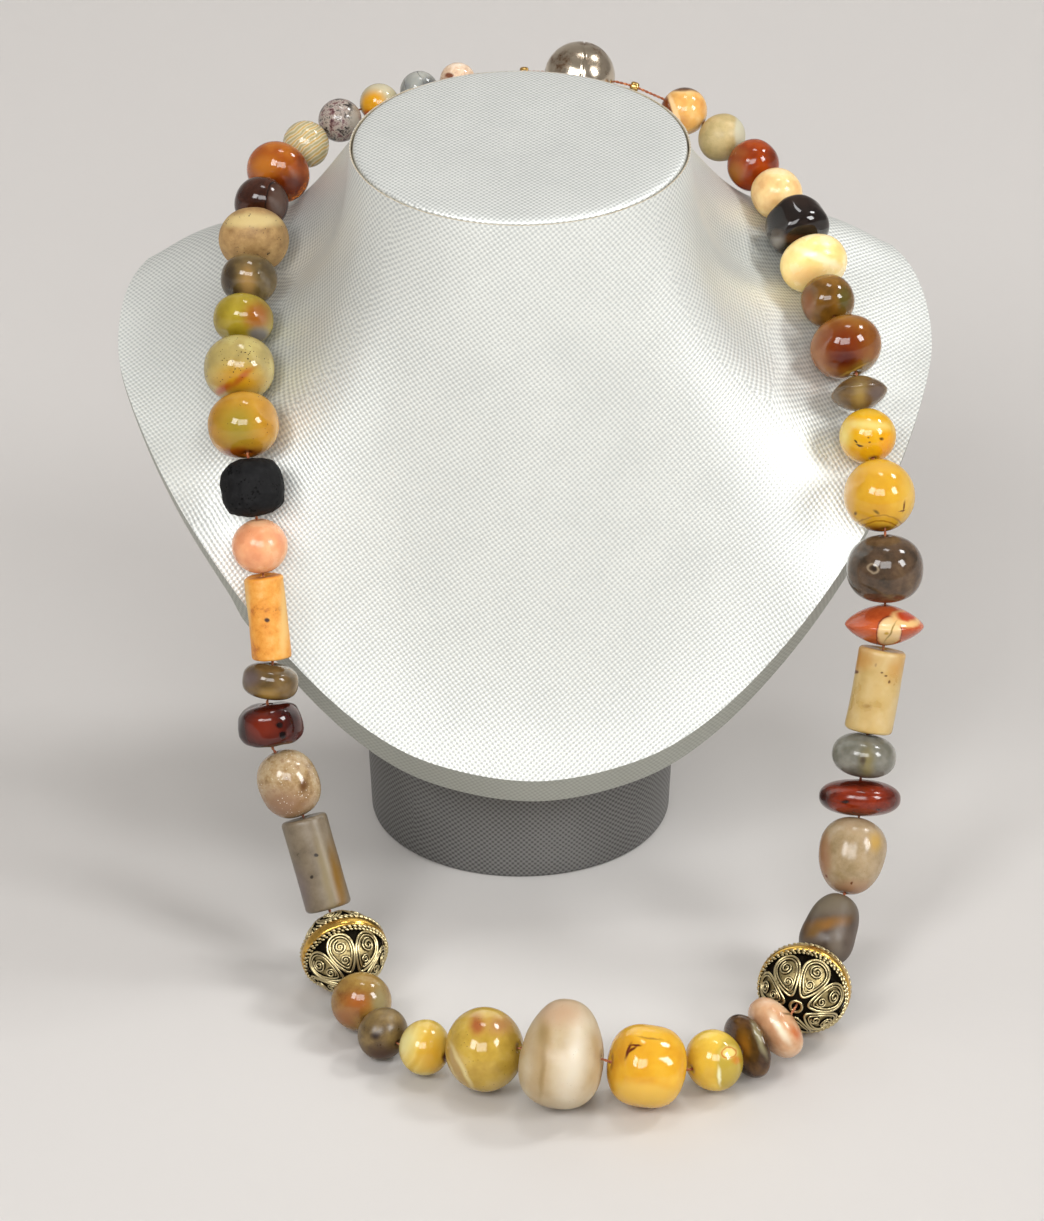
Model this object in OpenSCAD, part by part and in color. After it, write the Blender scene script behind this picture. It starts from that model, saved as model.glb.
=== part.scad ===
// Gemstone bead necklace on a neck display bust, in millimetres.
// +X is to the right, -Y to the front and +Z up.
// The origin is the centre of the pedestal's underside.

/* [Bust] */
// Width of the neck's top rim
rim_w = 85; // [84.5:0.5:88]
// Depth of the neck's top rim
rim_d = 77.5; // [77:0.5:80]
// Height of the rim above the table
rim_z = 188; // [187:0.5:192]
// Forward slope of the rim, in degrees
rim_slope = 4.9; // [3:0.1:6]
// Height of the edge band under the front lip
lip_band = 8; // [6:0.5:9]
// Height of the edge band at the back
back_band = 4; // [3:0.5:5]
// Diameter of the pedestal at the table
pedestal_foot_d = 78; // [74:1:82]
// Diameter of the pedestal under the bust
pedestal_top_d = 81; // [78:1:84]
// Height of the pedestal
pedestal_h = 32; // [28:0.5:32]

/* [Cap] */
// Width of the padded cap set into the rim
cap_w = 83.4; // [82:0.2:84]
// Depth of the padded cap
cap_d = 76; // [75:0.2:76.4]
// Width of the groove round the cap
cap_groove = 0.4; // [0.3:0.1:0.5]
// Depth of the seat that holds the cap
cap_seat = 3; // [2:0.5:4]
// Height of the cap's crown above the rim
cap_crown = 1.6; // [0.5:0.1:3]

/* [String] */
// Bore through every bead
bore_d = 1.4; // [1.2:0.1:2]
// Diameter of the thread
thread_d = 0.7; // [0.4:0.1:0.8]
// Diameter of the two crimps beside the clasp
crimp_d = 2.6; // [2:0.1:3]

/* [Metal balls] */
// Width of the smooth band round a filigree ball
band_w = 3; // [2.5:0.5:4]
// Height of the band above the ball
band_rise = 0.35; // [0.2:0.05:0.5]
// Thickness of the rope wire each side of the band
rope_d = 0.9; // [0.6:0.1:1.2]
// Width of the seam round the clasp ball
seam_w = 0.5; // [0.3:0.1:0.8]
// Depth of the seam round the clasp ball
seam_depth = 0.3; // [0.2:0.1:0.5]

/* [Hidden] */
// Gap between pieces that are set into or stand on each other
FIT = 0.2;

// The bust is drawn as ribs that run from the rim down to the edge.
// One row for each rib of the right half, from the middle of the front to the back.
// TURN is the angle round the rim, EDGE_X, EDGE_Y and EDGE_Z where the rib meets the edge,
// DROP and FLARE bend the rib at the neck, RISE and PULL bend it at the edge.
TURN = 0;
EDGE_X = 1;
EDGE_Y = 2;
EDGE_Z = 3;
DROP = 4;
FLARE = 5;
RISE = 6;
PULL = 7;
RIBS = [
    [  0,   0, -58,  40, 30,  3, 36,  17],
    [ 14,  25, -54,  43, 30,  3, 36,  17],
    [ 26,  42, -50,  51, 30,  3, 32,  17],
    [ 38,  58, -47,  66, 31,  3, 22,  18],
    [ 50,  74, -44,  87, 34,  3, 11,  20],
    [ 62,  89, -31, 107, 38,  2,  0,  22],
    [ 74,  99,  -9, 120, 44,  0, -4,  22],
    [ 86, 104,  15, 128, 52,  0,  0,  16],
    [ 97, 100,  41, 136, 59,  0,  3,  10],
    [108,  86,  55, 139, 54,  8, 12,   4],
    [122,  65,  60, 141, 36, 17,  8,   0],
    [140,  42,  64, 142, 17, 25,  5,  -6],
    [160,  20,  67, 142, 11, 27,  3,  -8],
    [180,   0,  68, 142,  9, 27,  3,  -8],
];
// Sideways set of the edge: the shoulders stand a little to the right of the neck
EDGE_SET = 2;
// Middle of the rim, front to back
RIM_Y = 2;
// Ribs drawn for each row of the table, and steps down each rib
RIB_PARTS = 3;
RIB_STEPS = 12;
// Steps along the straight underside between the edge and the pedestal
UNDERSIDE_STEPS = 4;
// How far the edge band leans in under the front lip, and how much more at the back
LIP_SET = 3.5;
BACK_SET = 4;
// Sides of the cap
CAP_SIDES = 48;
// Rings from the cap's shoulder to its middle: how far out and how high, as shares of the crown
CAP_RINGS = [[1, 0.15], [0.97, 0.45], [0.9, 0.62], [0.7, 0.85], [0.4, 0.97]];

// The string's route round the neck and over the table, anticlockwise seen from above,
// starting where the thread enters the clasp ball.
ROUTE = [
    [ 27.5,   71.5,   174],
    [  9.5,   72.5, 176.5],
    [   -5,     72, 176.5],
    [  -14,   70.5, 175.5],
    [-23.5,     69, 173.5],
    [-34.5,   67.5, 170.5],
    [  -45,     64,   168],
    [  -53,   55.5, 164.5],
    [-61.5,     45,   162],
    [-64.5,     33, 159.5],
    [  -67,     20,   155],
    [  -68,      8, 149.5],
    [-69.5,     -2, 143.5],
    [-71.5,    -14, 135.5],
    [  -70,  -28.5,   127],
    [  -68,  -39.5, 115.5],
    [-66.5,    -44, 101.5],
    [  -65,  -50.5,  84.5],
    [  -64,    -56,    70],
    [  -67,    -60,    59],
    [  -60,    -65,  46.5],
    [  -54,    -73,    26],
    [  -50,    -82,    14],
    [  -45,   -102,   9.5],
    [  -43, -109.5,     8],
    [  -41,   -121,     7],
    [  -30,   -128,   7.3],
    [  -14,   -135,  10.7],
    [    4,   -143,  16.3],
    [   23,   -145,  10.7],
    [   41,   -140,     8],
    [   48,   -134,   8.8],
    [ 55.5,   -129,   9.5],
    [ 61.5,   -125,  13.5],
    [ 67.5, -104.5,  11.3],
    [   73,    -96,    16],
    [ 79.5,  -81.5,  28.5],
    [   82,    -72,  40.5],
    [ 82.5,    -68,    50],
    [   86,    -62,  64.5],
    [ 88.5,    -56,    80],
    [ 88.5,    -51,    92],
    [ 88.5,    -44, 110.5],
    [   86,    -28, 118.5],
    [ 84.5,    -18, 125.5],
    [   83,     -9,   135],
    [   78,      3, 141.5],
    [   76,     15,   146],
    [ 72.5,   25.5,   152],
    [   68,     37,   156],
    [ 63.5,     50, 158.5],
    [ 55.5,     59, 162.5],
    [ 46.5,   66.5,   167],
    [   37,     70,   171],
];
// Samples along each span of the route
ROUTE_PARTS = 20;

// Shapes of bead.
// A bead's outline is a superellipse with this squareness: 2 is an ellipse, more is squarer.
// The tube, the filigree ball and the clasp ball have outlines of their own.
ROUND = 2;
SOFT = 2.3;
BARREL = 2.8;
CHUNK = 3.4;
KEEL = 1.5;
TUBE = 10;
FILIGREE = 11;
CLASP = 12;
CRIMP = 13;
// Steps along the outline of a bead
OUTLINE_STEPS = 14;
// Sides of whatever is turned
TURNED = 64;
// Rounding of a tube bead's ends, as a share of its diameter, and how far its middle is cut back
TUBE_ROUNDING = 0.14;
TUBE_SHOULDER = 0.3;
// The two twisted wires each side of the band as one ring, as a share of one wire's thickness
ROPE_PAIR = 1.6;
// How far a cut runs past the face that it opens
CUT = 1;

// Every bead in stringing order, from the clasp round the left side to the front and back.
// NAME, SHAPE, DIA across the string, LEN along it, GAP to the next one, TINT as shown.
NAME = 0;
SHAPE = 1;
DIA = 2;
LEN = 3;
GAP = 4;
TINT = 5;
BEADS = [
    ["clasp_ball",          CLASP,    18.4, 18.4,    4, "#8C8478"],
    ["crimp_left",          CRIMP,     2.6,  2.6, 11.5, "#B08A4E"],
    ["cream_pink_round",    ROUND,     9.5,  9.5,  0.4, "#D9C0A4"],
    ["grey_round",          ROUND,    10.3, 10.3,  0.5, "#8A8C88"],
    ["amber_round",         ROUND,    10.5, 10.5,  0.6, "#D9A63C"],
    ["plum_speckled",       ROUND,    11.6, 11.5,  0.5, "#5C4A4C"],
    ["striped_cream",       ROUND,    12.5,   12,  0.4, "#B8B496"],
    ["caramel_round",       ROUND,      17,   14,  0.4, "#A85E1C"],
    ["umber_banded",        SOFT,       14,   12,  0.4, "#4E362C"],
    ["sand_barrel",         BARREL,   18.4,   14,  0.4, "#9C8664"],
    ["smoky_left",          SOFT,     14.6, 11.5,  0.4, "#6E6450"],
    ["olive_yellow_small",  SOFT,     15.5,   12,  0.4, "#A88C34"],
    ["speckled_cream",      SOFT,       18, 15.8,  0.4, "#C0AC74"],
    ["olive_yellow_large",  SOFT,       18,   16,    1, "#9C8428"],
    ["black_lava",          BARREL,   16.5,   15,  0.4, "#1C1C1E"],
    ["salmon_round",        ROUND,    14.3, 13.8,  0.4, "#DC9678"],
    ["ochre_tube",          TUBE,     10.6, 21.5,  0.9, "#C88C3C"],
    ["smoky_disc",          BARREL,   14.3,    9,  0.7, "#6C6254"],
    ["carnelian_chunk",     CHUNK,    17.5,   12,    1, "#7C2418"],
    ["mottled_oval",        SOFT,     15.5, 17.5,  0.4, "#B49C80"],
    ["grey_olive_tube",     TUBE,       12,   24,  3.8, "#6E6448"],
    ["filigree_left",       FILIGREE,   23,   21,  0.7, "#8C7A4C"],
    ["russet_round",        ROUND,    15.4,   14,  1.1, "#A46838"],
    ["slate_brown_round",   ROUND,    13.4, 11.6,  0.8, "#5C5244"],
    ["butter_round",        ROUND,      14, 12.6,  0.4, "#E0C070"],
    ["bronze_banded",       ROUND,      21,   19,  0.8, "#9C7C34"],
    ["frosted_quartz",      SOFT,     27.4,   20,  1.8, "#D8D4C8"],
    ["honey_round",         BARREL,   20.5, 18.5,    2, "#E8A42C"],
    ["lemon_round",         ROUND,    15.4,   14,  0.4, "#D8BC50"],
    ["brown_disc",          SOFT,     16.8,  5.6,  1.3, "#4C3A2C"],
    ["peach_round",         SOFT,       17,  9.6,  3.3, "#DCA888"],
    ["filigree_right",      FILIGREE, 24.2, 21.5,  3.1, "#8C7A4C"],
    ["grey_ochre_tube",     BARREL,   13.8,   18,  0.7, "#746A62"],
    ["beige_oval",          SOFT,     16.8, 19.5,  0.5, "#A8947C"],
    ["brick_disc",          SOFT,     20.8,  9.4,  0.4, "#8C2C18"],
    ["blue_grey_disc",      SOFT,     16.4, 11.2,  0.4, "#808684"],
    ["cream_tube",          TUBE,     12.5, 21.5,  0.4, "#D0B878"],
    ["jasper_keel",         KEEL,       20, 10.6,  0.4, "#B85838"],
    ["dark_agate",          BARREL,   19.3,   17,  1.4, "#40362E"],
    ["yolk_banded",         ROUND,    18.2, 18.4,  0.6, "#E0A838"],
    ["mustard_round",       ROUND,    14.6,   14,  0.4, "#DCA83C"],
    ["smoky_keel",          KEEL,     14.6,  9.6,  0.4, "#6C6458"],
    ["rust_round",          ROUND,    18.6,   16,  0.4, "#844418"],
    ["olive_brown_round",   SOFT,     13.9, 12.5,  0.4, "#584418"],
    ["ivory_round",         SOFT,     17.5, 12.2,  0.4, "#E8D8A8"],
    ["black_chunk",         CHUNK,    16.8, 12.5,  0.4, "#28201E"],
    ["beige_round",         SOFT,     13.4, 12.8,  0.4, "#D8AC80"],
    ["chestnut_round",      SOFT,     13.8, 12.2,  0.4, "#8C4420"],
    ["pale_green_round",    ROUND,      13,   12,  0.4, "#A89C78"],
    ["tiger_round",         ROUND,    12.8, 12.4,    7, "#B87C44"],
    ["crimp_right",         CRIMP,     2.6,  2.6,    4, "#B08A4E"],
];

LEATHERETTE = "#A9ACAC";
THREAD_TINT = "#A8622C";

// A point at share t between b and c on a smooth curve through a, b, c and d
function smooth(a, b, c, d, t) =
    0.5 * (2 * b + (c - a) * t + (2 * a - 5 * b + 4 * c - d) * t * t + (3 * b - a - 3 * c + d) * t * t * t);

// A point at share t along a curve bent by its two middle points
function bent(a, b, c, d, t) =
    pow(1 - t, 3) * a + 3 * pow(1 - t, 2) * t * b + 3 * (1 - t) * t * t * c + pow(t, 3) * d;

// A row of the rib table, continued past both ends by its mirror image
function mirrored(row, turn_sum) =
    [for (c = [0 : PULL]) c == TURN ? turn_sum - row[c] : c == EDGE_X ? -row[c] : row[c]];
function rib_row(i) =
    i < 0 ? mirrored(RIBS[-i], 0) : i >= len(RIBS) ? mirrored(RIBS[2 * len(RIBS) - 2 - i], 360) : RIBS[i];

// The rows of every rib, first the right half and then the left half back to the front
HALF_RIBS = (len(RIBS) - 1) * RIB_PARTS;
function rib_at(k) =
    let (i = floor(k / RIB_PARTS), t = k / RIB_PARTS - i)
    smooth(rib_row(i - 1), rib_row(i), rib_row(i + 1), rib_row(i + 2), t);
function rib(k) = k <= HALF_RIBS ? rib_at(k) : mirrored(rib_at(2 * HALF_RIBS - k), 360);
RIB_COUNT = 2 * HALF_RIBS;

// Outward direction and a point at the rim for an angle round it
function outward(turn) = [sin(turn), -cos(turn), 0];
function rim_point(turn, w, d, lift) =
    let (y = -d / 2 * cos(turn)) [w / 2 * sin(turn), RIM_Y + y, rim_z + y * tan(rim_slope) + lift];

// All the points of one rib, from the cap's seat over the rim and down to the pedestal
function rib_points(k) =
    let (
        r = rib(k),
        turn = r[TURN],
        rim = rim_point(turn, rim_w, rim_d, 0),
        edge = [r[EDGE_X] + EDGE_SET, r[EDGE_Y], r[EDGE_Z]],
        neck_bend = rim + [0, 0, -r[DROP]] + outward(turn) * r[FLARE],
        edge_bend = edge + [0, 0, r[RISE]] - outward(turn) * r[PULL],
        back = pow(sin(turn / 2), 2),
        under = edge + [0, LIP_SET + BACK_SET * back, -lip_band + (lip_band - back_band) * back],
        seat_w = cap_w + 2 * cap_groove,
        seat_d = cap_d + 2 * cap_groove,
        foot = outward(turn) * pedestal_top_d / 2 + [0, 0, pedestal_h + FIT]
    )
    concat(
        [rim_point(turn, seat_w, seat_d, -cap_seat), rim_point(turn, seat_w, seat_d, 0)],
        [for (s = [0 : RIB_STEPS]) bent(rim, neck_bend, edge_bend, edge, s / RIB_STEPS)],
        [under],
        [for (s = [1 : UNDERSIDE_STEPS]) under + (foot - under) * s / UNDERSIDE_STEPS]
    );
RIB_LENGTH = RIB_STEPS + 4 + UNDERSIDE_STEPS;

// Faces of a tube of rings, each with the same number of points, closed by its two end faces
function ring_faces(rings, sides) = concat(
    [for (r = [0 : rings - 2]) for (s = [0 : sides - 1])
        let (a = r * sides + s, b = r * sides + (s + 1) % sides)
        each [[a, b + sides, b], [a, a + sides, b + sides]]],
    [[for (s = [0 : sides - 1]) s], [for (s = [sides - 1 : -1 : 0]) (rings - 1) * sides + s]]
);

module bust_body() {
    ribs = [for (k = [0 : RIB_COUNT - 1]) rib_points(k)];
    points = [for (j = [RIB_LENGTH - 1 : -1 : 0]) for (k = [0 : RIB_COUNT - 1]) ribs[k][j]];
    color(LEATHERETTE) polyhedron(points, ring_faces(RIB_LENGTH, RIB_COUNT), convexity = 6);
}

module bust_cap() {
    foot_lift = FIT - cap_seat;
    turns = [for (s = [0 : CAP_SIDES - 1]) s * 360 / CAP_SIDES];
    crown = [for (r = CAP_RINGS) for (t = turns) rim_point(t, cap_w * r[0], cap_d * r[0], cap_crown * r[1])];
    points = concat([for (t = turns) rim_point(t, cap_w, cap_d, foot_lift)], crown);
    color(LEATHERETTE) polyhedron(points, ring_faces(len(CAP_RINGS) + 1, CAP_SIDES), convexity = 4);
}

module bust_pedestal() {
    color("#77797A") cylinder(d1 = pedestal_foot_d, d2 = pedestal_top_d, h = pedestal_h, $fn = 96);
}

// The route as one closed list of points
SPANS = len(ROUTE);
function stop(i) = ROUTE[(i + SPANS) % SPANS];
PATH = [for (i = [0 : SPANS - 1]) for (s = [0 : ROUTE_PARTS - 1])
    smooth(stop(i - 1), stop(i), stop(i + 1), stop(i + 2), s / ROUTE_PARTS)];

// Walks along the path from sample i until it is the wanted distance away from p
function walk(i, p, wanted) =
    i + 2 >= len(PATH) || norm(PATH[i + 1] - p) >= wanted ?
    let (
        start = PATH[i] - p,
        way = PATH[i + 1] - PATH[i],
        b = start * way,
        share = (-b + sqrt(b * b - way * way * (start * start - wanted * wanted))) / (way * way)
    )
    [i, PATH[i] + way * share] : walk(i + 1, p, wanted);

// The points where the thread enters and leaves each bead
STRIDES = [for (b = BEADS) each [b[LEN], b[GAP]]];
MOUTHS = [
    for (k = 0, at = [0, PATH[0]]; k < len(STRIDES); at = walk(at[0], at[1], STRIDES[k]), k = k + 1) at[1]
];

// Puts what is drawn round the z axis on the line from one point to another, centred between them
module string_between(from, to) {
    d = to - from;
    translate((from + to) / 2) rotate([0, acos(d.z / norm(d)), atan2(d.y, d.x)]) children();
}

// Half outline of a bead: a superellipse that starts and ends at the bore
module bead_outline(dia, length, squareness) {
    start = asin(pow(bore_d / dia, squareness / 2));
    turns = [for (s = [0 : OUTLINE_STEPS]) start + (180 - 2 * start) * s / OUTLINE_STEPS];
    polygon([for (t = turns) [
        dia / 2 * pow(sin(t), 2 / squareness),
        -length / 2 * sign(cos(t)) * pow(abs(cos(t)), 2 / squareness)
    ]]);
}

// Half outline of a tube bead with rounded ends
module tube_outline(dia, length) {
    c = dia * TUBE_ROUNDING;
    e = c * TUBE_SHOULDER;
    r = dia / 2;
    h = length / 2;
    polygon([
        [bore_d / 2, -h], [r - c, -h], [r - e, -h + e], [r, -h + c],
        [r, h - c], [r - e, h - e], [r - c, h], [bore_d / 2, h]
    ]);
}

module ball(dia, length) {
    rotate_extrude($fn = TURNED) bead_outline(dia, length, ROUND);
}

// A filigree ball: a sphere with a smooth band between two rope wires
module filigree_ball(dia, length) {
    band_r = dia / 2;
    ball_d = dia - 2 * band_rise - rope_d;
    rotate_extrude($fn = TURNED) union() {
        bead_outline(ball_d, length, ROUND);
        translate([bore_d, -band_w / 2]) square([band_r - rope_d / 2 - bore_d, band_w]);
        for (side = [-1, 1])
            translate([band_r - rope_d, side * band_w / 2]) circle(d = rope_d * ROPE_PAIR, $fn = 24);
    }
}

// The clasp ball: two polished shells that close on a seam
module clasp_shell(dia, length) {
    difference() {
        ball(dia, length);
        rotate_extrude($fn = TURNED) translate([dia / 2 - seam_depth, -seam_w / 2]) square([dia, seam_w]);
    }
}

module crimp(length) {
    difference() {
        cylinder(d = crimp_d, h = length, center = true, $fn = 32);
        cylinder(d = bore_d, h = length + 2 * CUT, center = true, $fn = 32);
    }
}

module bead(i) {
    b = BEADS[i];
    shape = b[SHAPE];
    color(b[TINT]) string_between(MOUTHS[2 * i], MOUTHS[2 * i + 1])
        if (shape == FILIGREE) filigree_ball(b[DIA], b[LEN]);
        else if (shape == CLASP) clasp_shell(b[DIA], b[LEN]);
        else if (shape == CRIMP) crimp(b[LEN]);
        else if (shape == TUBE) rotate_extrude($fn = TURNED) tube_outline(b[DIA], b[LEN]);
        else rotate_extrude($fn = TURNED) bead_outline(b[DIA], b[LEN], shape);
}

// The thread runs through the mouths of every bore and closes on itself
THREAD_SIDES = 6;
// A direction that the thread never takes, to turn its rings alike
ASIDE = [0.2, 0.3, 1];
function across(d) = let (n = cross(d, ASIDE)) n / norm(n);
function thread_ring(i) =
    let (
        n = len(MOUTHS),
        before = MOUTHS[i] - MOUTHS[(i + n - 1) % n],
        after = MOUTHS[(i + 1) % n] - MOUTHS[i],
        way = before / norm(before) + after / norm(after),
        u = across(way),
        v = cross(way, u) / norm(way)
    )
    [for (s = [0 : THREAD_SIDES - 1]) let (t = s * 360 / THREAD_SIDES)
        MOUTHS[i] + thread_d / 2 * (u * cos(t) + v * sin(t))];

module thread() {
    n = len(MOUTHS);
    points = [for (i = [0 : n - 1]) each thread_ring(i)];
    faces = [for (r = [0 : n - 1]) for (s = [0 : THREAD_SIDES - 1])
        let (
            a = r * THREAD_SIDES + s,
            b = r * THREAD_SIDES + (s + 1) % THREAD_SIDES,
            c = (r + 1) % n * THREAD_SIDES + (s + 1) % THREAD_SIDES,
            d = (r + 1) % n * THREAD_SIDES + s
        ) each [[a, c, b], [a, d, c]]];
    color(THREAD_TINT) polyhedron(points, faces, convexity = 10);
}

for (i = [0 : len(BEADS) - 1]) bead(i);
thread();
bust_body();
bust_cap();
bust_pedestal();
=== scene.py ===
"""Looks of a gemstone bead necklace on its neck bust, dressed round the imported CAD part.

Lengths are in metres, and MM turns a size in millimetres into one.
"""

from __future__ import annotations

import logging
from collections.abc import Sequence
from dataclasses import dataclass
from enum import Enum
from math import acos, asin, atan2, copysign, cos, pi, radians, sin, sqrt

import bpy
from mathutils import Matrix, Vector


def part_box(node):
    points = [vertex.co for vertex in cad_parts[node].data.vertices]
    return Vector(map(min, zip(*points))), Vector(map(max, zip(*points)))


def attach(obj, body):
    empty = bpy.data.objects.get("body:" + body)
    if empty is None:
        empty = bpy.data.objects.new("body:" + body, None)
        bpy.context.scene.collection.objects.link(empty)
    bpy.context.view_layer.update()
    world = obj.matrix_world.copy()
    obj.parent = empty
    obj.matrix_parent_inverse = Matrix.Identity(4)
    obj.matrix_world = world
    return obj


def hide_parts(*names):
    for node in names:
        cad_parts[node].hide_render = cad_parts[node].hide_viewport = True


log = logging.getLogger("necklace")
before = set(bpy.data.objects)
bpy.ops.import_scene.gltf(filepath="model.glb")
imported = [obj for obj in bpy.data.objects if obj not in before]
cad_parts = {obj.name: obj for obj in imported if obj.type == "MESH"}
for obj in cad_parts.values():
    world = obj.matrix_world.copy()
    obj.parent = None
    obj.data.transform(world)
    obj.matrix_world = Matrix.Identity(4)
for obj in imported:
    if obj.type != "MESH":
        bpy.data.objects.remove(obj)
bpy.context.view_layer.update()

MM = 0.001
FULL_TURN = 2 * pi
# Corners closer than this are one corner
WELD = 0.001 * MM
# Bore through every bead and the small chamfer at its mouths
BORE = 0.7 * MM
CHAMFER = 0.25 * MM
# Rounding of a tube bead's edge, as a share of its radius
TUBE_CORNER = 0.2
# Scale at which a wave texture has one band to a unit
ONE_BAND = 0.314
# Lowest and highest value that a noise commonly takes
NOISE_RANGE = (0.33, 0.67)

Piece = bpy.types.Object
Socket = bpy.types.NodeSocket
Point = tuple[float, float, float]


def linear(code: str) -> tuple[float, float, float, float]:
    """Turns a colour into linear light.

    Args:
        code: An sRGB colour, a hash and six hex digits.

    Returns:
        Red, green, blue and full alpha.
    """
    channels = [int(code[i : i + 2], 16) / 255 for i in (1, 3, 5)]
    red, green, blue = (c / 12.92 if c <= 0.04045 else ((c + 0.055) / 1.055) ** 2.4 for c in channels)
    return red, green, blue, 1.0


class Shader:
    """A material while its nodes are added."""

    def __init__(self, name: str) -> None:
        """Starts an empty node material.

        Args:
            name: The material's name.
        """
        self.material = bpy.data.materials.new(name)
        self.material.use_nodes = True
        self.tree = self.material.node_tree
        self.tree.nodes.clear()

    def add(self, kind: str, sockets: dict, **settings) -> bpy.types.Node:
        """Adds a shader node with its settings and links.

        Args:
            kind: The node's type name after "ShaderNode".
            sockets: A value or another node's output for each input, by name or number.
            **settings: The node's own settings.

        Returns:
            The new node.
        """
        node = self.tree.nodes.new("ShaderNode" + kind)
        for name, value in settings.items():
            setattr(node, name, value)
        for key, value in sockets.items():
            if isinstance(value, bpy.types.NodeSocket):
                self.tree.links.new(value, node.inputs[key])
            else:
                node.inputs[key].default_value = value
        return node

    def where(self, kind: str = "Object") -> Socket:
        """Returns the place on the piece, in metres."""
        return self.add("TexCoord", {}).outputs[kind]

    def noise(
        self, where: Socket, size: float, detail: float, rough: float = 0.5, output: str = "Fac"
    ) -> Socket:
        """Adds a noise of blotches of about the given size."""
        sockets = {"Vector": where, "Scale": 1 / size, "Detail": detail, "Roughness": rough}
        return self.add("TexNoise", sockets).outputs[output]

    def maths(self, operation: str, *values: Socket | float) -> Socket:
        """Works out one step of arithmetic."""
        return self.add("Math", dict(enumerate(values)), operation=operation).outputs[0]

    def spread(
        self,
        value: Socket,
        low: float,
        high: float,
        start: float = 0.0,
        end: float = 1.0,
        smooth: bool = False,
    ) -> Socket:
        """Spreads a value from low to high over start to end, evenly or with eased ends."""
        settings = {"interpolation_type": "SMOOTHSTEP" if smooth else "LINEAR"}
        return self.add("MapRange", dict(enumerate((value, low, high, start, end))), **settings).outputs[0]

    def stray(self, where: Socket, places: Socket, size: float, reach: float) -> Socket:
        """Shifts places by a noise of the given size and reach."""
        sockets = {0: self.noise(where, size, 2.0, output="Color"), 1: (reach,) * 3, 2: places}
        return self.add("VectorMath", sockets, operation="MULTIPLY_ADD").outputs[0]

    def local(self, where: Socket, middle: Vector, facing: Matrix, size: Sequence[float]) -> Socket:
        """Measures places from a middle, along a matrix's axes, in units of a size."""
        sockets = {"Vector": where, "Location": middle, "Rotation": facing.to_euler(), "Scale": size}
        return self.add("Mapping", sockets, vector_type="TEXTURE").outputs[0]

    def tone(self, value: Socket, colours: Sequence[str], low: float, high: float) -> Socket:
        """Spreads colours over a value.

        Args:
            value: What the colours follow.
            colours: Two or more sRGB colours.
            low: The value of the first one.
            high: The value of the last one.

        Returns:
            The colour.
        """
        ramp = self.add("ValToRGB", {0: value})
        stops = ramp.color_ramp.elements
        while len(stops) < len(colours):
            stops.new(0.5)
        for i in range(len(colours)):
            stops[i].position = low + (high - low) * i / (len(colours) - 1)
        for i, code in enumerate(colours):
            stops[i].color = linear(code)
        return ramp.outputs[0]

    def blend(self, share: Socket, under: object, over: object) -> Socket:
        """Lays one colour over another by a share."""
        return self.add("Mix", {0: share, 6: under, 7: over}, data_type="RGBA").outputs[2]

    def bump(self, height: Socket, strength: float, depth: float = 0.1 * MM) -> Socket:
        """Turns a height into a bumped normal."""
        return self.add("Bump", {"Height": height, "Strength": strength, "Distance": depth}).outputs[0]

    def finish(self, sockets: dict) -> bpy.types.Material:
        """Ends the material in one principled shader.

        Args:
            sockets: A value or another node's output for each input, by name.

        Returns:
            The material.
        """
        shader = self.add("BsdfPrincipled", sockets)
        self.add("OutputMaterial", {"Surface": shader.outputs[0]})
        return self.material


def clear_selection() -> None:
    """Deselects every object."""
    bpy.ops.object.select_all(action="DESELECT")


def pick(piece: Piece) -> None:
    """Selects one piece and makes it the active one.

    Args:
        piece: The piece.
    """
    clear_selection()
    piece.select_set(True)
    bpy.context.view_layer.objects.active = piece


def edit(piece: Piece, everything: bool = True) -> None:
    """Opens a piece in edit mode.

    Args:
        piece: The piece.
        everything: Whether all of it is selected, or else what is marked in its mesh.
    """
    pick(piece)
    bpy.ops.object.mode_set(mode="EDIT")
    if everything:
        bpy.ops.mesh.select_all(action="SELECT")


def done() -> Piece:
    """Closes edit mode and returns the piece that was open."""
    bpy.ops.object.mode_set(mode="OBJECT")
    return bpy.context.view_layer.objects.active


def trace(name: str, points: Sequence[Vector], loop: bool = False) -> Piece:
    """Draws a chain of edges, one extrusion from each point to the next.

    Args:
        name: The piece's name.
        points: The points in order.
        loop: Whether the last point is joined to the first.

    Returns:
        The chain as a mesh object with its origin at the world's.
    """
    clear_selection()
    bpy.ops.mesh.primitive_plane_add(size=MM, location=points[0])
    piece = bpy.context.object
    piece.name = piece.data.name = name
    edit(piece)
    bpy.ops.mesh.merge(type="CENTER")
    for start, end in zip(points, points[1:]):
        bpy.ops.mesh.extrude_region_move(TRANSFORM_OT_translate={"value": end - start})
    done()
    if loop:
        last = len(piece.data.vertices) - 1
        for vertex in piece.data.vertices:
            vertex.select = vertex.index in (0, last)
        edit(piece, everything=False)
        bpy.ops.mesh.edge_face_add()
        done()
    bpy.ops.object.transform_apply(location=True, rotation=True, scale=True)
    return piece


def soften() -> None:
    """Turns the open piece's normals outward and shades it smooth."""
    bpy.ops.mesh.normals_make_consistent(inside=False)
    bpy.ops.mesh.faces_shade_smooth()


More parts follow.
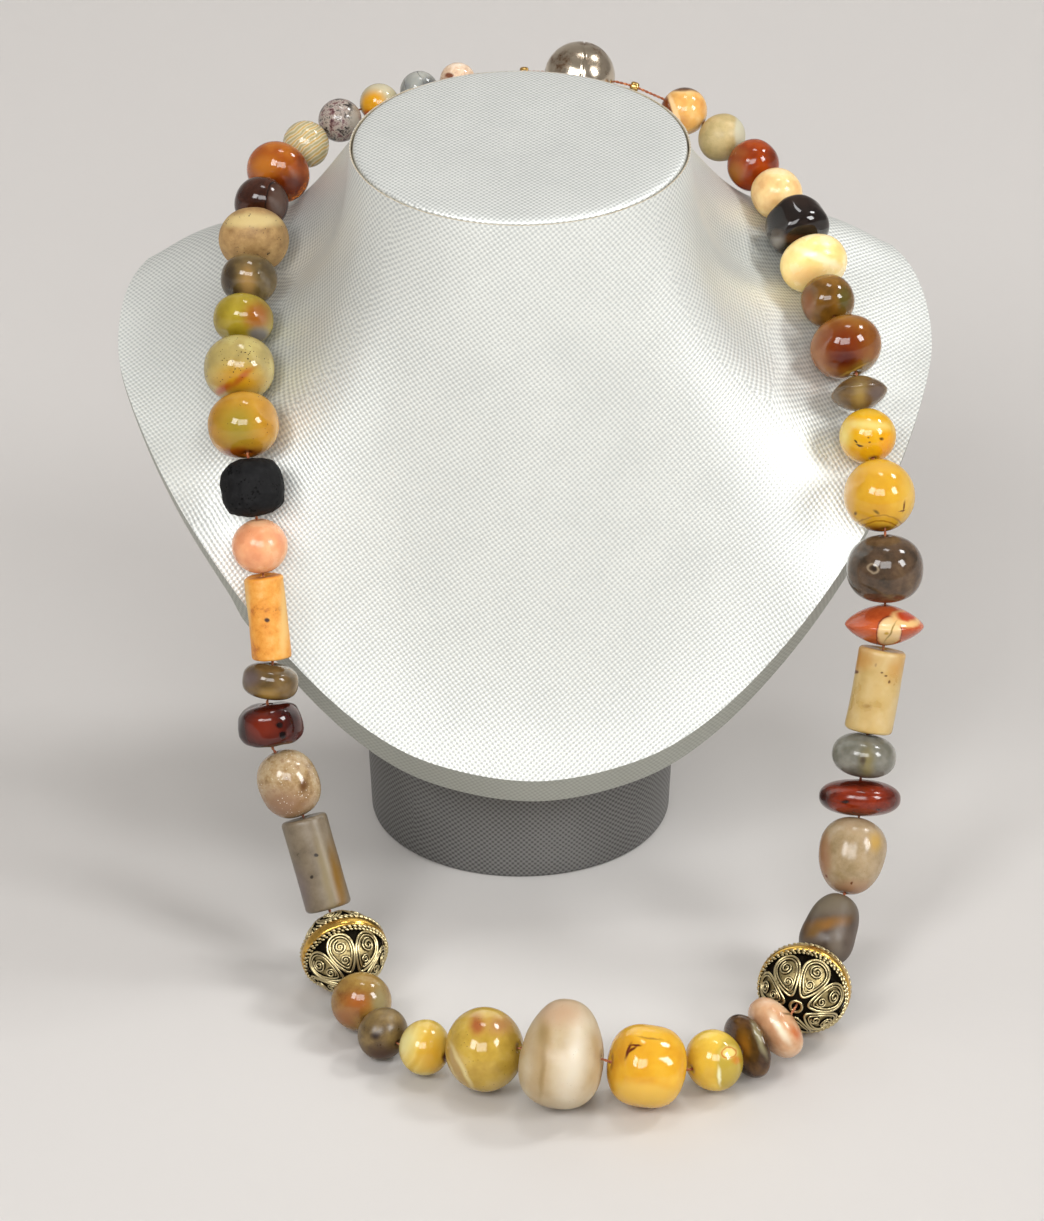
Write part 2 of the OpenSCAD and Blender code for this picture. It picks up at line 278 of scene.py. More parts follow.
def turn(name: str, outline: Sequence[Vector], sides: int) -> Piece:
    """Spins a closed outline round the z axis.

    Args:
        name: The piece's name.
        outline: Points in the XZ plane, all on the +X side.
        sides: Sides of the turned piece.

    Returns:
        The closed solid, shaded smooth.
    """
    piece = trace(name, outline, loop=True)
    edit(piece)
    bpy.ops.mesh.spin(steps=sides, angle=FULL_TURN, center=(0, 0, 0), axis=(0, 0, 1))
    bpy.ops.mesh.select_all(action="SELECT")
    bpy.ops.mesh.remove_doubles(threshold=WELD)
    soften()
    return done()


def repeat_round(piece: Piece, count: int) -> None:
    """Repeats all of a mesh evenly round the z axis.

    Args:
        piece: The mesh object.
        count: How many there are in the end.
    """
    edit(piece)
    angle = FULL_TURN * (count - 1) / count
    bpy.ops.mesh.spin(steps=count - 1, dupli=True, angle=angle, center=(0, 0, 0), axis=(0, 0, 1))
    done()


def wire(name: str, points: Sequence[Vector], radius: float, loop: bool) -> Piece:
    """Draws a round wire along points.

    Args:
        name: The piece's name.
        points: The wire's centre line.
        radius: Half the wire's thickness.
        loop: Whether the wire closes on itself.

    Returns:
        The wire as a mesh object.
    """
    trace(name, points, loop)
    bpy.ops.object.convert(target="CURVE")
    curve = bpy.context.object.data
    curve.bevel_depth = radius
    curve.bevel_resolution = 1
    curve.use_fill_caps = True
    bpy.ops.object.convert(target="MESH")
    piece = bpy.context.object
    edit(piece)
    soften()
    return done()


def modify(piece: Piece, kind: str, **settings) -> None:
    """Adds a modifier to a piece and applies it.

    Args:
        piece: The piece.
        kind: The modifier's type.
        **settings: The modifier's own settings.
    """
    pick(piece)
    modifier = piece.modifiers.new(kind.title(), kind)
    for name, value in settings.items():
        setattr(modifier, name, value)
    bpy.ops.object.modifier_apply(modifier=modifier.name)


def place(piece: Piece, matrix: Matrix) -> None:
    """Puts a piece where the matrix says, with its place in its mesh.

    Args:
        piece: The piece, modelled round the world's origin.
        matrix: Its turn and shift.
    """
    pick(piece)
    piece.matrix_world = matrix
    bpy.ops.object.transform_apply(location=True, rotation=True, scale=True)


def join(pieces: Sequence[Piece], name: str) -> Piece:
    """Joins pieces into the first one.

    Args:
        pieces: Mesh objects, each with its materials.
        name: The joined piece's name.

    Returns:
        The joined piece.
    """
    clear_selection()
    for piece in pieces:
        piece.select_set(True)
    bpy.context.view_layer.objects.active = pieces[0]
    bpy.ops.object.join()
    pieces[0].name = pieces[0].data.name = name
    return pieces[0]


def copy_of(source: Piece, name: str) -> Piece:
    """Copies a piece or a CAD node as a new object with a mesh of its own.

    Args:
        source: The mesh object.
        name: The copy's name.

    Returns:
        The copy.
    """
    piece = bpy.data.objects.new(name, source.data.copy())
    piece.data.name = name
    bpy.context.scene.collection.objects.link(piece)
    return piece


def dress(piece: Piece, material: bpy.types.Material) -> None:
    """Covers a piece with one more material."""
    piece.data.materials.append(material)


def hand_in(piece: Piece, node: str, slot: str) -> None:
    """Lets a finished piece stand for a CAD node.

    Args:
        piece: The finished piece.
        node: The CAD node.
        slot: The name of its material slot, which is only logged.
    """
    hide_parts(node)
    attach(piece, "root")
    log.info("%s: %d faces, slot %s", piece.name, len(piece.data.polygons), slot)


@dataclass(frozen=True)
class Viewpoint:
    """The photograph's viewpoint, as fitted on the bust's rim and the beads' places."""

    azimuth: float = radians(-2.4)
    elevation: float = radians(29.26)
    distance: float = 1.5
    target: Point = (-0.00044, -0.020, 0.0683)
    lens: float = 202.97
    sensor: float = 36.0

    def axes(self) -> Matrix:
        """Works out the view's directions.

        Returns:
            Right, up and towards the camera, as columns.
        """
        flat = cos(self.elevation)
        right = Vector((cos(self.azimuth), sin(self.azimuth), 0))
        towards = Vector((flat * sin(self.azimuth), -flat * cos(self.azimuth), sin(self.elevation)))
        up = towards.cross(right)
        return Matrix((right, up, towards)).transposed()

    def build(self) -> None:
        """Adds the camera."""
        axes = self.axes()
        spot = Vector(self.target) + self.distance * axes.col[2]
        bpy.ops.object.camera_add(location=spot, rotation=axes.to_euler())
        camera = bpy.context.object
        camera.name = "photo_camera"
        camera.data.sensor_fit = "HORIZONTAL"
        camera.data.sensor_width = self.sensor
        camera.data.lens = self.lens
        bpy.context.scene.camera = camera


VIEW = Viewpoint()
VIEW_AXES = VIEW.axes()


def facing(lean: float) -> Matrix:
    """Returns the camera's axes, turned in the picture by a lean in degrees."""
    return VIEW_AXES @ Matrix.Rotation(radians(lean), 3, "Z")


@dataclass(frozen=True)
class SoftBox:
    """A rectangular studio light, seen in the beads as one bright window."""

    name: str
    towards: Point
    size: tuple[float, float]
    watts: float
    distance: float = 3.0

    def build(self) -> None:
        """Adds the light, aimed at the object."""
        way = (VIEW_AXES @ Vector(self.towards)).normalized()
        spot = Vector(VIEW.target) + self.distance * way
        bpy.ops.object.light_add(type="AREA", location=spot, rotation=way.to_track_quat("Z", "Y").to_euler())
        lamp = bpy.context.object
        lamp.name = self.name
        lamp.data.shape = "RECTANGLE"
        lamp.data.size, lamp.data.size_y = self.size
        lamp.data.energy = self.watts


@dataclass(frozen=True)
class Studio:
    """The pale sweep, the soft lights and the camera."""

    boxes: tuple[SoftBox, ...] = (
        SoftBox("top_light", (0.08, 0.94, 0.33), (0.7, 0.45), 8),
        SoftBox("top_right_light", (0.60, 0.78, 0.15), (0.6, 0.5), 18),
        SoftBox("left_front_light", (-0.43, 0.25, 0.87), (0.9, 1.1), 34),
        SoftBox("right_front_light", (0.73, 0.25, 0.62), (0.8, 1.1), 42),
        SoftBox("camera_side_light", (0.0, 0.15, 1.0), (1.6, 1.2), 42),
    )
    floor_size: Point = (9, 8, 1)
    wall_height: float = 4
    bend: float = 1.5
    room_light: float = 0.25
    # Size of the paper's faint blotches
    blotches: float = 1 / 1.5

    def sweep(self) -> None:
        """Lays the pale floor, which bends up into a wall far behind."""
        clear_selection()
        bpy.ops.mesh.primitive_plane_add(size=1)
        floor = bpy.context.object
        floor.name = "floor_sweep"
        edit(floor)
        bpy.ops.transform.resize(value=self.floor_size)
        done()
        for edge in floor.data.edges:
            edge.select = False
        for vertex in floor.data.vertices:
            vertex.select = vertex.co.y > 0
        edit(floor, everything=False)
        bpy.ops.mesh.extrude_region_move(TRANSFORM_OT_translate={"value": (0, 0, self.wall_height)})
        done()
        for vertex in floor.data.vertices:
            vertex.select = vertex.co.y > 0 and vertex.co.z < self.wall_height / 2
        edit(floor, everything=False)
        bpy.ops.mesh.bevel(offset=self.bend, segments=12)
        bpy.ops.mesh.select_all(action="SELECT")
        bpy.ops.mesh.faces_shade_smooth()
        done()
        paper = Shader("matte_paper_sweep")
        noise = paper.noise(paper.where(), self.blotches, 2.0)
        colour = paper.tone(noise, ("#D9D6D3", "#DDDAD7"), 0.3, 0.7)
        dress(floor, paper.finish({"Base Color": colour, "Roughness": 0.9}))

    def build(self) -> None:
        """Builds the stage, the lights, the world and the camera."""
        self.sweep()
        for box in self.boxes:
            box.build()
        world = bpy.data.worlds.new("soft_room")
        world.use_nodes = True
        room = world.node_tree.nodes["Background"].inputs
        room["Color"].default_value = linear("#F4F6F8")
        room["Strength"].default_value = self.room_light
        bpy.context.scene.world = world
        bpy.context.scene.view_settings.view_transform = "Standard"
        VIEW.build()
        log.info("studio: %d lights", len(self.boxes))


@dataclass(frozen=True)
class Mark:
    """A spot, patch or vein that the photograph shows on one stone, or a highlight painted on it.

    Places and sizes are in millimetres in the photograph's own right and up directions.
    """

    across: float
    up: float
    wide: float
    tall: float
    colour: str
    soft: float = 0.8
    turned: float = 0.0
    hollow: bool = False

    def lay(self, shader: Shader, where: Socket, under: Socket, middle: Vector, reach: float) -> Socket:
        """Lays the mark over a stone's colour.

        Args:
            shader: The stone's material.
            where: The place on the stone, in metres.
            under: The colour so far.
            middle: The stone's middle.
            reach: The stone's half size.

        Returns:
            The colour with the mark.
        """
        flat = Vector((self.across, self.up, 0)) * MM
        depth = sqrt(max(reach * reach - flat.length_squared, 0))
        at = middle + VIEW_AXES @ (flat + Vector((0, 0, depth)))
        # A ring is made deep, so that it meets the stone's surface along its outline in the photograph
        size = (self.wide * MM, self.tall * MM, reach * (3 if self.hollow else 1))
        near = shader.local(where, at, facing(self.turned), size)
        far = shader.add("VectorMath", {0: near}, operation="LENGTH").outputs["Value"]
        start, end = 1 - self.soft, 1 + self.soft
        if self.hollow:
            far = shader.maths("ABSOLUTE", shader.maths("SUBTRACT", far, 1.0))
            start, end = 0.0, self.soft
        share = shader.spread(far, start, end, 1.0, 0.0, smooth=True)
        return shader.blend(share, under, linear(self.colour))


class Pattern(Enum):
    """What a stone's colour follows."""

    BANDED = "BANDS"
    RINGED = "RINGS"
    MOTTLED = "many small blotches"
    CLOUDY = "few large ones"


@dataclass(frozen=True)
class StoneFinish:
    """A drilled and tumbled stone: quartz and agate at IOR 1.54, polished unless roughness says otherwise.

    The grain and the specks are in millimetres, and the lean in degrees.
    """

    colours: tuple[str, ...]
    pattern: Pattern = Pattern.CLOUDY
    grain: float = 5.0
    lean: float = 0.0
    aside: tuple[float, float] = (0.0, 0.0)
    rough: float = 0.1
    glow: float = 0.35
    clear: float = 0.0
    shine: float = 0.45
    specks: float = 0.0
    speck_size: float = 0.45
    speck_colour: str = "#3A2416"
    pits: float = 0.0
    marks: tuple[Mark, ...] = ()

    # The same for every stone: size and reach of the noise that bends its pattern, and grain of its polish
    bend_size = 3 * MM
    bend_reach = 1.1 * MM
    polish_grain = 1.2 * MM
    # Spacing of the specks, in specks, size of the fields in which they gather, and depth of the pits
    speck_spacing = 2.4
    speck_field = 4 * MM
    pit_depth = 6.0

    def pattern_value(self, shader: Shader, grains: Socket) -> tuple[Socket, float, float]:
        """Adds the pattern's texture.

        Args:
            shader: The stone's material.
            grains: The place on the stone, in grains.

        Returns:
            The pattern's value, and the lowest and highest that it commonly takes.
        """
        if self.pattern in (Pattern.BANDED, Pattern.RINGED):
            sockets = {
                "Vector": grains,
                "Scale": ONE_BAND,
                "Distortion": 2.2,
                "Detail": 3.0,
                "Detail Scale": 0.6,
            }
            wave = shader.add("TexWave", sockets, wave_type=self.pattern.value, rings_direction="SPHERICAL")
            return wave.outputs["Fac"], 0.0, 1.0
        detail, roughness = (7.0, 0.68) if self.pattern is Pattern.MOTTLED else (3.0, 0.5)
        return shader.noise(grains, 1.0, detail, roughness), *NOISE_RANGE

    def dots(self, shader: Shader, where: Socket, bent: Socket) -> Socket:
        """Scatters pits and specks in fields, up to twice as coarse as the real ones so that they show.

        Args:
            shader: The stone's material.
            where: The place on the stone, in metres.
            bent: The place, strayed.

        Returns:
            The share of the dots' colour.
        """
        spacing = self.speck_spacing * self.speck_size * MM
        cells = shader.add("TexVoronoi", {"Vector": bent, "Scale": 1 / spacing}).outputs["Distance"]
        fields = shader.noise(where, self.speck_field, 1.0)
        limit = shader.spread(fields, 0.35, 0.7, 0.0, max(self.specks, self.pits) * 0.5)
        return shader.spread(shader.maths("SUBTRACT", limit, cells), -0.03, 0.05, smooth=True)

    def material(self, name: str, middle: Vector, reach: float) -> bpy.types.Material:
        """Builds a stone's material.

        Args:
            name: The material's name.
            middle: The stone's middle.
            reach: The stone's half size.

        Returns:
            The material.
        """
        shader = Shader(name)
        where = shader.where()
        bent = shader.stray(where, where, self.bend_size, self.bend_reach)
        start = middle + VIEW_AXES @ (Vector((*self.aside, 0)) * MM)
        grains = shader.local(bent, start, facing(self.lean), (self.grain * MM,) * 3)
        value, low, high = self.pattern_value(shader, grains)
        colour = shader.tone(value, self.colours, low, high)
        for mark in self.marks:
            colour = mark.lay(shader, bent, colour, middle, reach)
        height = shader.noise(where, self.polish_grain, 3.0)
        if self.specks or self.pits:
            dots = self.dots(shader, where, bent)
            colour = shader.blend(dots, colour, linear(self.speck_colour))
            height = shader.maths("MULTIPLY_ADD", dots, -self.pit_depth * self.pits, height)
        sockets = {
            "Base Color": colour,
            "Roughness": shader.spread(value, low, high, self.rough * 0.8, self.rough * 1.3),
            "IOR": 1.54,
            "Specular IOR Level": self.shine,
            "Subsurface Weight": self.glow,
            "Subsurface Radius": (1.0, 0.8, 0.6),
            "Subsurface Scale": 1.6 * MM,
            "Transmission Weight": self.clear,
            "Normal": shader.bump(height, 0.12 + 0.6 * self.pits + 0.3 * self.rough),
        }
        return shader.finish(sockets)


class Cut(Enum):
    """How a bead was cut, as the squareness of its half outline: 2 is an ellipse."""

    ROUND = 2.0
    SOFT = 2.3
    BARREL = 2.8
    CHUNK = 3.4
    KEEL = 1.5
    TUBE = 0.0


@dataclass(frozen=True)
class Seat:
    """Where a bead sits on the string: its middle, its axis and its size."""

    middle: Vector
    axis: Vector
    length: float
    radius: float

    def matrix(self) -> Matrix:
        """Works out the turn and shift from the lathe to the string.

        Returns:
            The matrix, with x towards the photograph's camera.
        """
        towards = VIEW_AXES.col[2]
        x = (towards - self.axis * towards.dot(self.axis)).normalized()
        y = self.axis.cross(x)
        return Matrix.Translation(self.middle) @ Matrix((x, y, self.axis)).transposed().to_4x4()


def half_outline(cut: Cut, radius: float, length: float, steps: int = 24) -> list[Vector]:
    """Draws a bead's closed half outline, from the bore round the outside and back.

    Args:
        cut: How the bead was cut.
        radius: Half the bead's diameter.
        length: Its length along the string.
        steps: Steps along a curved outline.

    Returns:
        Points in the XZ plane.
    """
    mouth = BORE + CHAMFER
    if cut is Cut.TUBE:
        corner = TUBE_CORNER * radius
        side = length / 2 - corner
        arc = [radians(a) for a in (90, 67, 45, 22, 0)]
        rim = [(radius - corner + corner * cos(a), side + corner * sin(a)) for a in arc]
        body = [(radius, side * share) for share in (0.93, 0.5, 0.0)]
        upper = [(mouth, length / 2), (radius - corner * 1.15, length / 2), *rim, *body]
        half = [(r, -z) for r, z in upper] + [(r, z) for r, z in reversed(upper[:-1])]
    else:
        power = 2 / cut.value
        first = asin((mouth / radius) ** (cut.value / 2))
        turns = [first + (pi - 2 * first) * s / steps for s in range(steps + 1)]
        ends = [copysign(abs(cos(t)) ** power, cos(t)) for t in turns]
        half = [(radius * sin(t) ** power, -length / 2 * end) for t, end in zip(turns, ends)]
    inner = half[-1][1] - 1.6 * CHAMFER
    return [Vector((r, 0, z)) for r, z in [(BORE, -inner), *half, (BORE, inner)]]


@dataclass(frozen=True)
class Stone:
    """One stone bead: its cut, its finish and how far it strays from a true turned shape, in millimetres."""

    cut: Cut
    finish: StoneFinish
    worn: float = 0.25
    worn_grain: float = 9.0
    taper: float = 0.0
    dome: float = 0.0
    sides: int = 48

    def build(self, name: str, seat: Seat) -> Piece:
        """Turns the bead, wears it, sets it on the string and dresses it.

        Args:
            name: The bead's name.
            seat: Its place on the string.

        Returns:
            The finished bead.
        """
        piece = turn(name + "_stone", half_outline(self.cut, seat.radius, seat.length), self.sides)
        for axis, share in (("Z", self.taper), ("Y", self.dome)):
            if share:
                modify(piece, "SIMPLE_DEFORM", deform_method="TAPER", deform_axis=axis, factor=share)
        place(piece, seat.matrix())
        if self.worn:
            wear = bpy.data.textures.get("wear") or bpy.data.textures.new("wear", "CLOUDS")
            wear.noise_scale = self.worn_grain * MM
            wear.noise_depth = 1
            depth = self.worn * MM
            modify(piece, "DISPLACE", texture=wear, texture_coords="GLOBAL", strength=depth, mid_level=1.0)
        dress(piece, self.finish.material(name + "_stone", seat.middle, seat.radius))
        return piece


# Short names for the table of stones
F = StoneFinish
M = Mark
ROUND, SOFT, BARREL, CHUNK, KEEL, TUBE = Cut
BANDED, RINGED, MOTTLED, CLOUDY = Pattern

# Every stone in stringing order, from the clasp round the left side to the front and back up the right side
STONES: dict[str, Stone] = {
    "cream_pink_round": Stone(ROUND, F(("#A8846E", "#D8BCA0", "#F0E0CC"), MOTTLED, 4, specks=0.3,
        marks=(M(-1.5, 1.5, 1.2, 0.8, "#7A4A34", 0.35), M(1.8, -1.5, 1.4, 0.7, "#8A5A40", 0.35)))),
    "grey_round": Stone(ROUND, F(("#84868A", "#A2A49E", "#B4B4AC"), CLOUDY, 6, clear=0.2,
        marks=(M(3.4, -0.5, 2.4, 4.5, "#5C5E5E", 0.5), M(0, 0, 2.4, 9, "#6A6A68", 0.06, 20, True)))),
    "amber_round": Stone(ROUND, F(("#B8AE8A", "#CFC5A6"), CLOUDY, 6, clear=0.2,
        marks=(M(-1.2, -0.2, 3.6, 3.8, "#E0A018", 0.45), M(-2.8, -3.0, 2.4, 1.4, "#B8481A", 0.6)))),
    "plum_speckled": Stone(ROUND, F(("#060406", "#201317", "#B0A59B", "#6F4E50", "#0E090B"), MOTTLED, 2.4,
        marks=(M(4.6, 0.5, 1.6, 3.4, "#A39B8F"),))),
    "striped_cream": Stone(ROUND, F(("#A79C72", "#C4BA98", "#D5C6A8", "#C4A258"), BANDED, 1.5, 128)),
    "caramel_round": Stone(ROUND, F(("#7B3006", "#B25611", "#D27C24"), CLOUDY, 9, clear=0.35, rough=0.06,
        marks=(M(4.5, -3.5, 4.5, 3.4, "#652305", 0.6), M(-3, 2, 4, 2.6, "#D28129", 0.7)))),
    "umber_banded": Stone(SOFT, F(("#280F07", "#3B1C10", "#4D281A"), MOTTLED, 4,
        marks=(M(4.6, 0.5, 2.2, 4.6, "#563E33", 0.5), M(6.2, 0.5, 4.4, 6.6, "#1F0C07", 0.09, 0, True),
        M(-1, -3.8, 4.6, 1.4, "#612513", 0.6)))),
    "sand_barrel": Stone(SOFT, F(("#8F6D40", "#A98553", "#BD9B65"), MOTTLED, 3.2, rough=0.6, glow=0.1,
        pits=0.5, speck_size=0.4, speck_colour="#554027", marks=(M(0, 5.2, 9, 1.8, "#CDB57B", 0.5),)),
        worn=0.5),
    "smoky_left": Stone(SOFT, F(("#534229", "#7A653E", "#937C4F"), CLOUDY, 6, clear=0.35, rough=0.05,
        marks=(M(0.5, -0.8, 1.8, 4.6, "#BF995C", 0.7), M(-4.4, 0, 1.6, 4.4, "#433521", 0.7)))),
    "olive_yellow_small": Stone(SOFT, F(("#917C18", "#AB962C", "#BBA53F"), CLOUDY, 7, clear=0.15,
        rough=0.06, marks=(M(4.2, 1.4, 3.2, 3.4, "#A0611F", 0.6), M(4.8, -3.4, 2.8, 2.0, "#7C7672", 0.5)))),
    "speckled_cream": Stone(SOFT, F(("#A9975C", "#BDA966", "#CBBB76"), CLOUDY, 5, clear=0.2, specks=0.6,
        speck_size=0.32, marks=(M(0.6, -3.0, 6.0, 4.0, "#C9971F", 0.7),
        M(-3.6, -4.8, 3.0, 0.9, "#B95D19", 0.7, 30), M(1.6, -1.8, 3.2, 0.7, "#B5631F", 0.8, 42)))),
    "olive_yellow_large": Stone(SOFT, F(("#A17213", "#B88423", "#C49538"), CLOUDY, 8, rough=0.06,
        specks=0.35, speck_size=0.32, marks=(M(-0.5, 0.4, 4.4, 4.8, "#968128"),
        M(0, -6.4, 7.5, 1.4, "#94490B", 0.6)))),
    "black_lava": Stone(BARREL, F(("#0C0C0E", "#181819", "#232324"), MOTTLED, 2, rough=0.7, glow=0.0,
        shine=0.12, pits=0.9, speck_size=0.4, speck_colour="#040404"), worn=0.7, worn_grain=2.2, sides=96),
    "salmon_round": Stone(ROUND, F(("#D99166", "#E8A577", "#ECB68A"), CLOUDY, 5, rough=0.24, specks=0.14)),
    "ochre_tube": Stone(TUBE, F(("#B0631C", "#D68D2F", "#DE9B3F", "#E1A95C"), MOTTLED, 4, rough=0.45,
        glow=0.2, specks=0.2, marks=(M(0.6, 0, 0.7, 0.6, "#381C09", 0.4), M(-4.6, 0, 0.8, 9, "#E3BB74"),
        M(4.6, 0, 0.8, 9, "#E1B76E"))), worn=0.7, worn_grain=5),
    "smoky_disc": Stone(BARREL, F(("#594626", "#765D38", "#897047"), CLOUDY, 5, clear=0.25, rough=0.06,
        marks=(M(0, -2.6, 2.4, 1.4, "#A3813F"), M(-4.4, 1.6, 2.2, 1.8, "#6D5D59")))),
    "carnelian_chunk": Stone(CHUNK, F(("#250606", "#3C0D09", "#50140C"), CLOUDY, 6, clear=0.1, rough=0.05,
        marks=(M(-1.0, 0.4, 4.0, 3.2, "#73230E"), M(3.2, 0.9, 0.9, 0.8, "#0B0203", 0.5),
        M(3.9, -1.6, 0.9, 0.9, "#0B0203", 0.5), M(-7.0, 0, 1.6, 5, "#1D0404", 0.7))), worn=1.5,
        worn_grain=7),
    # mottled_oval's near-white specks are painted glints
    "mottled_oval": Stone(SOFT, F(("#816542", "#A48861", "#BBA581", "#99795A"), MOTTLED, 4, clear=0.12,
        specks=0.5, speck_size=0.3, speck_colour="#DBD2C0", marks=(M(-1.0, -5.0, 7.0, 4.4, "#927054"),
        M(4.4, 0.4, 1.0, 1.4, "#6B492A")))),
    "grey_olive_tube": Stone(TUBE, F(("#5F5443", "#716451", "#7B6F5D"), MOTTLED, 5, rough=0.34, glow=0.15,
        specks=0.1, marks=(M(-4.6, -7.0, 3.6, 6.0, "#6A5D5A"), M(5.8, -3.4, 1.5, 9.0, "#78550D", 0.6, 12),
        M(3.2, -2.4, 1.2, 9.0, "#7E7052", 0.9, 12), M(0.8, 3.0, 0.5, 0.4, "#231A10", 0.4),
        M(-0.4, -2.6, 0.4, 0.5, "#231A10", 0.4))), worn=0.4),
    "russet_round": Stone(ROUND, F(("#764E23", "#8F6E33", "#9E8144"), MOTTLED, 5, specks=0.3,
        speck_size=0.3, marks=(M(-0.6, 1.0, 3.2, 2.2, "#9A5822", 0.9),
        M(-3.8, -3.0, 3.2, 2.6, "#8F5E33", 0.7), M(5.4, 0.8, 1.8, 4.6, "#8F8159")))),
    "slate_brown_round": Stone(ROUND, F(("#514026", "#705B35", "#846E42"), MOTTLED, 4, rough=0.34,
        specks=0.2, marks=(M(0.4, -4.4, 5.0, 2.6, "#412814"), M(-1.2, 0.6, 1.0, 0.9, "#2E1D12")))),
    "butter_round": Stone(ROUND, F(("#CFB256", "#D6BB62", "#C8A540"), RINGED, 3.4, aside=(-5, 3),
        marks=(M(2.6, -1.2, 3.2, 5.2, "#CC9E2E", 0.9), M(-4.4, 2.4, 2.2, 4.0, "#D5C887", 0.8, -30),
        M(5.7, -1.4, 0.9, 1.3, "#562009", 0.5), M(0, -6.4, 4.0, 0.9, "#D3C57E")))),
    "bronze_banded": Stone(ROUND, F(("#A78732", "#BB9C41", "#C3A65A"), CLOUDY, 6, rough=0.08, specks=0.34,
        speck_size=0.34, marks=(M(-6.6, -2.0, 1.5, 8.2, "#A8894E", 0.8, 24),
        M(-9.0, -3.4, 1.2, 7.0, "#9C7440", 0.8, 24), M(-4.4, -4.0, 0.5, 6.0, "#D0BE84", 0.9, 26),
        M(-7.6, -3.6, 0.4, 5.0, "#C6B078", 0.9, 26), M(-1.2, 7.2, 1.6, 2.2, "#995629"),
        M(4.4, 7.0, 3.2, 2.0, "#A37744")))),
    "frosted_quartz": Stone(SOFT, F(("#C0A983", "#CBB895", "#D6C7AA"), CLOUDY, 7, rough=0.4, glow=0.8,
        clear=0.2, marks=(M(-4.6, 0.5, 2.0, 12.0, "#BA9F72", 0.9, -4),
        M(-4.4, -2.0, 0.6, 6.0, "#A68A59", 0.9, -4), M(-4.0, 6.6, 1.2, 3.0, "#A68C5D", 0.9),
        M(3.0, -1.0, 3.0, 9.0, "#E0D5C0", 0.9, -12), M(0.0, 11.4, 5.0, 3.0, "#C6A583", 0.9)), specks=0.3,
        speck_size=0.3, speck_colour="#8C7245"), worn=0.6, worn_grain=12, dome=0.34),
    "honey_round": Stone(BARREL, F(("#DB9F21", "#E7B12D", "#EDBD3F"), CLOUDY, 8, clear=0.2, rough=0.06,
        glow=0.5, marks=(M(1.0, -6.4, 9.4, 3.6, "#E9BD4D", 0.3, -12),
        M(-4.0, 5.0, 0.4, 1.9, "#6A2808", 0.5, -21), M(-2.4, 6.4, 1.3, 0.25, "#6A2808", 0.5, 4),
        M(-3.2, 5.2, 0.26, 1.5, "#6A2808", 0.6, -44), M(1.2, 8.0, 2.6, 0.2, "#B08429", 0.7, -9))),
        worn=0.4),
    "lemon_round": Stone(ROUND, F(("#CDA638", "#D7B241", "#DDBE55"), CLOUDY, 5,
        marks=(M(4.9, -0.4, 4.2, 7.6, "#B0983A", 0.25), M(1.5, -2.6, 0.4, 2.2, "#DFDCB2", 0.7, 8),
        M(4.0, 3.0, 1.8, 1.3, "#E0C878", 0.7), M(4.0, 3.0, 1.7, 1.2, "#B8742E", 0.22, 0, True),
        M(5.8, 1.2, 1.2, 0.9, "#BC7F26", 0.7)))),
    "brown_disc": Stone(SOFT, F(("#321E0E", "#4C3219", "#63441E"), CLOUDY, 4,
        marks=(M(-0.8, 0.5, 1.6, 3.6, "#9E6B22"), M(3.2, 3.0, 0.7, 4.0, "#8C8465", 0.8, 20)))),
    "peach_round": Stone(SOFT, F(("#C8966E", "#D9AB81", "#E3BE9B"), CLOUDY, 5, clear=0.15, rough=0.2,
        marks=(M(1.5, 0.8, 0.8, 3.6, "#EFE5CA", 0.9, 33), M(5.2, 0.0, 0.9, 1.8, "#C4713F", 0.8, 33),
        M(3.6, 4.4, 1.6, 0.22, "#7D613F", 0.6, -10)))),
    "grey_ochre_tube": Stone(BARREL, F(("#41342B", "#514439", "#594C41"), CLOUDY, 5, rough=0.42, glow=0.2,
        marks=(M(0, 7.4, 7.0, 4.0, "#625745", 0.7), M(-0.6, 2.2, 5.0, 1.3, "#795116", 0.9, 10),
        M(-4.2, 0.2, 2.0, 1.0, "#6C4C19", 0.9, 40), M(1.4, -3.4, 1.6, 4.0, "#685D51", 0.9))), worn=0.5,
        taper=-0.3),
    "beige_oval": Stone(SOFT, F(("#8D7957", "#A08B6B", "#AC987A"), MOTTLED, 6, rough=0.2, specks=0.2,
        speck_size=0.3, speck_colour="#744424", marks=(M(-7.0, 0, 1.6, 8, "#976E4D"),
        M(6.0, 4.4, 1.5, 2.0, "#B3914F", 0.9), M(0, -7.6, 6.0, 2.2, "#A07B5C"),
        M(-6.0, -4.2, 0.35, 0.35, "#743919", 0.5), M(0.2, -5.8, 0.3, 0.35, "#65371D", 0.5))), taper=0.25),
    "brick_disc": Stone(SOFT, F(("#551304", "#792307", "#8C2C0C"), MOTTLED, 5, rough=0.16, glow=0.2,
        pits=0.1, marks=(M(-9.2, 0, 2.2, 4.4, "#320A04", 0.7), M(9.2, 0.6, 2.0, 4, "#4C1205", 0.7),
        M(0, 4.4, 8.0, 0.8, "#3E0D04"), M(-3.6, 0.2, 1.0, 0.5, "#230603", 0.6),
        M(4.6, -2.0, 0.5, 0.3, "#3E0C04", 0.6)))),
    "blue_grey_disc": Stone(SOFT, F(("#747265", "#8B897E", "#9E9C90"), CLOUDY, 5, clear=0.35, rough=0.14,
        marks=(M(0.9, -1.4, 1.6, 3.8, "#918559", 0.9), M(-0.2, -0.4, 0.6, 1.2, "#594C3C", 0.9)))),
    "cream_tube": Stone(TUBE, F(("#B39557", "#BFA46B", "#C6AF7E"), CLOUDY, 6, rough=0.3, glow=0.5,
        specks=0.1, marks=(M(-1.6, 8.6, 6.2, 3.4, "#B58337", 0.4),
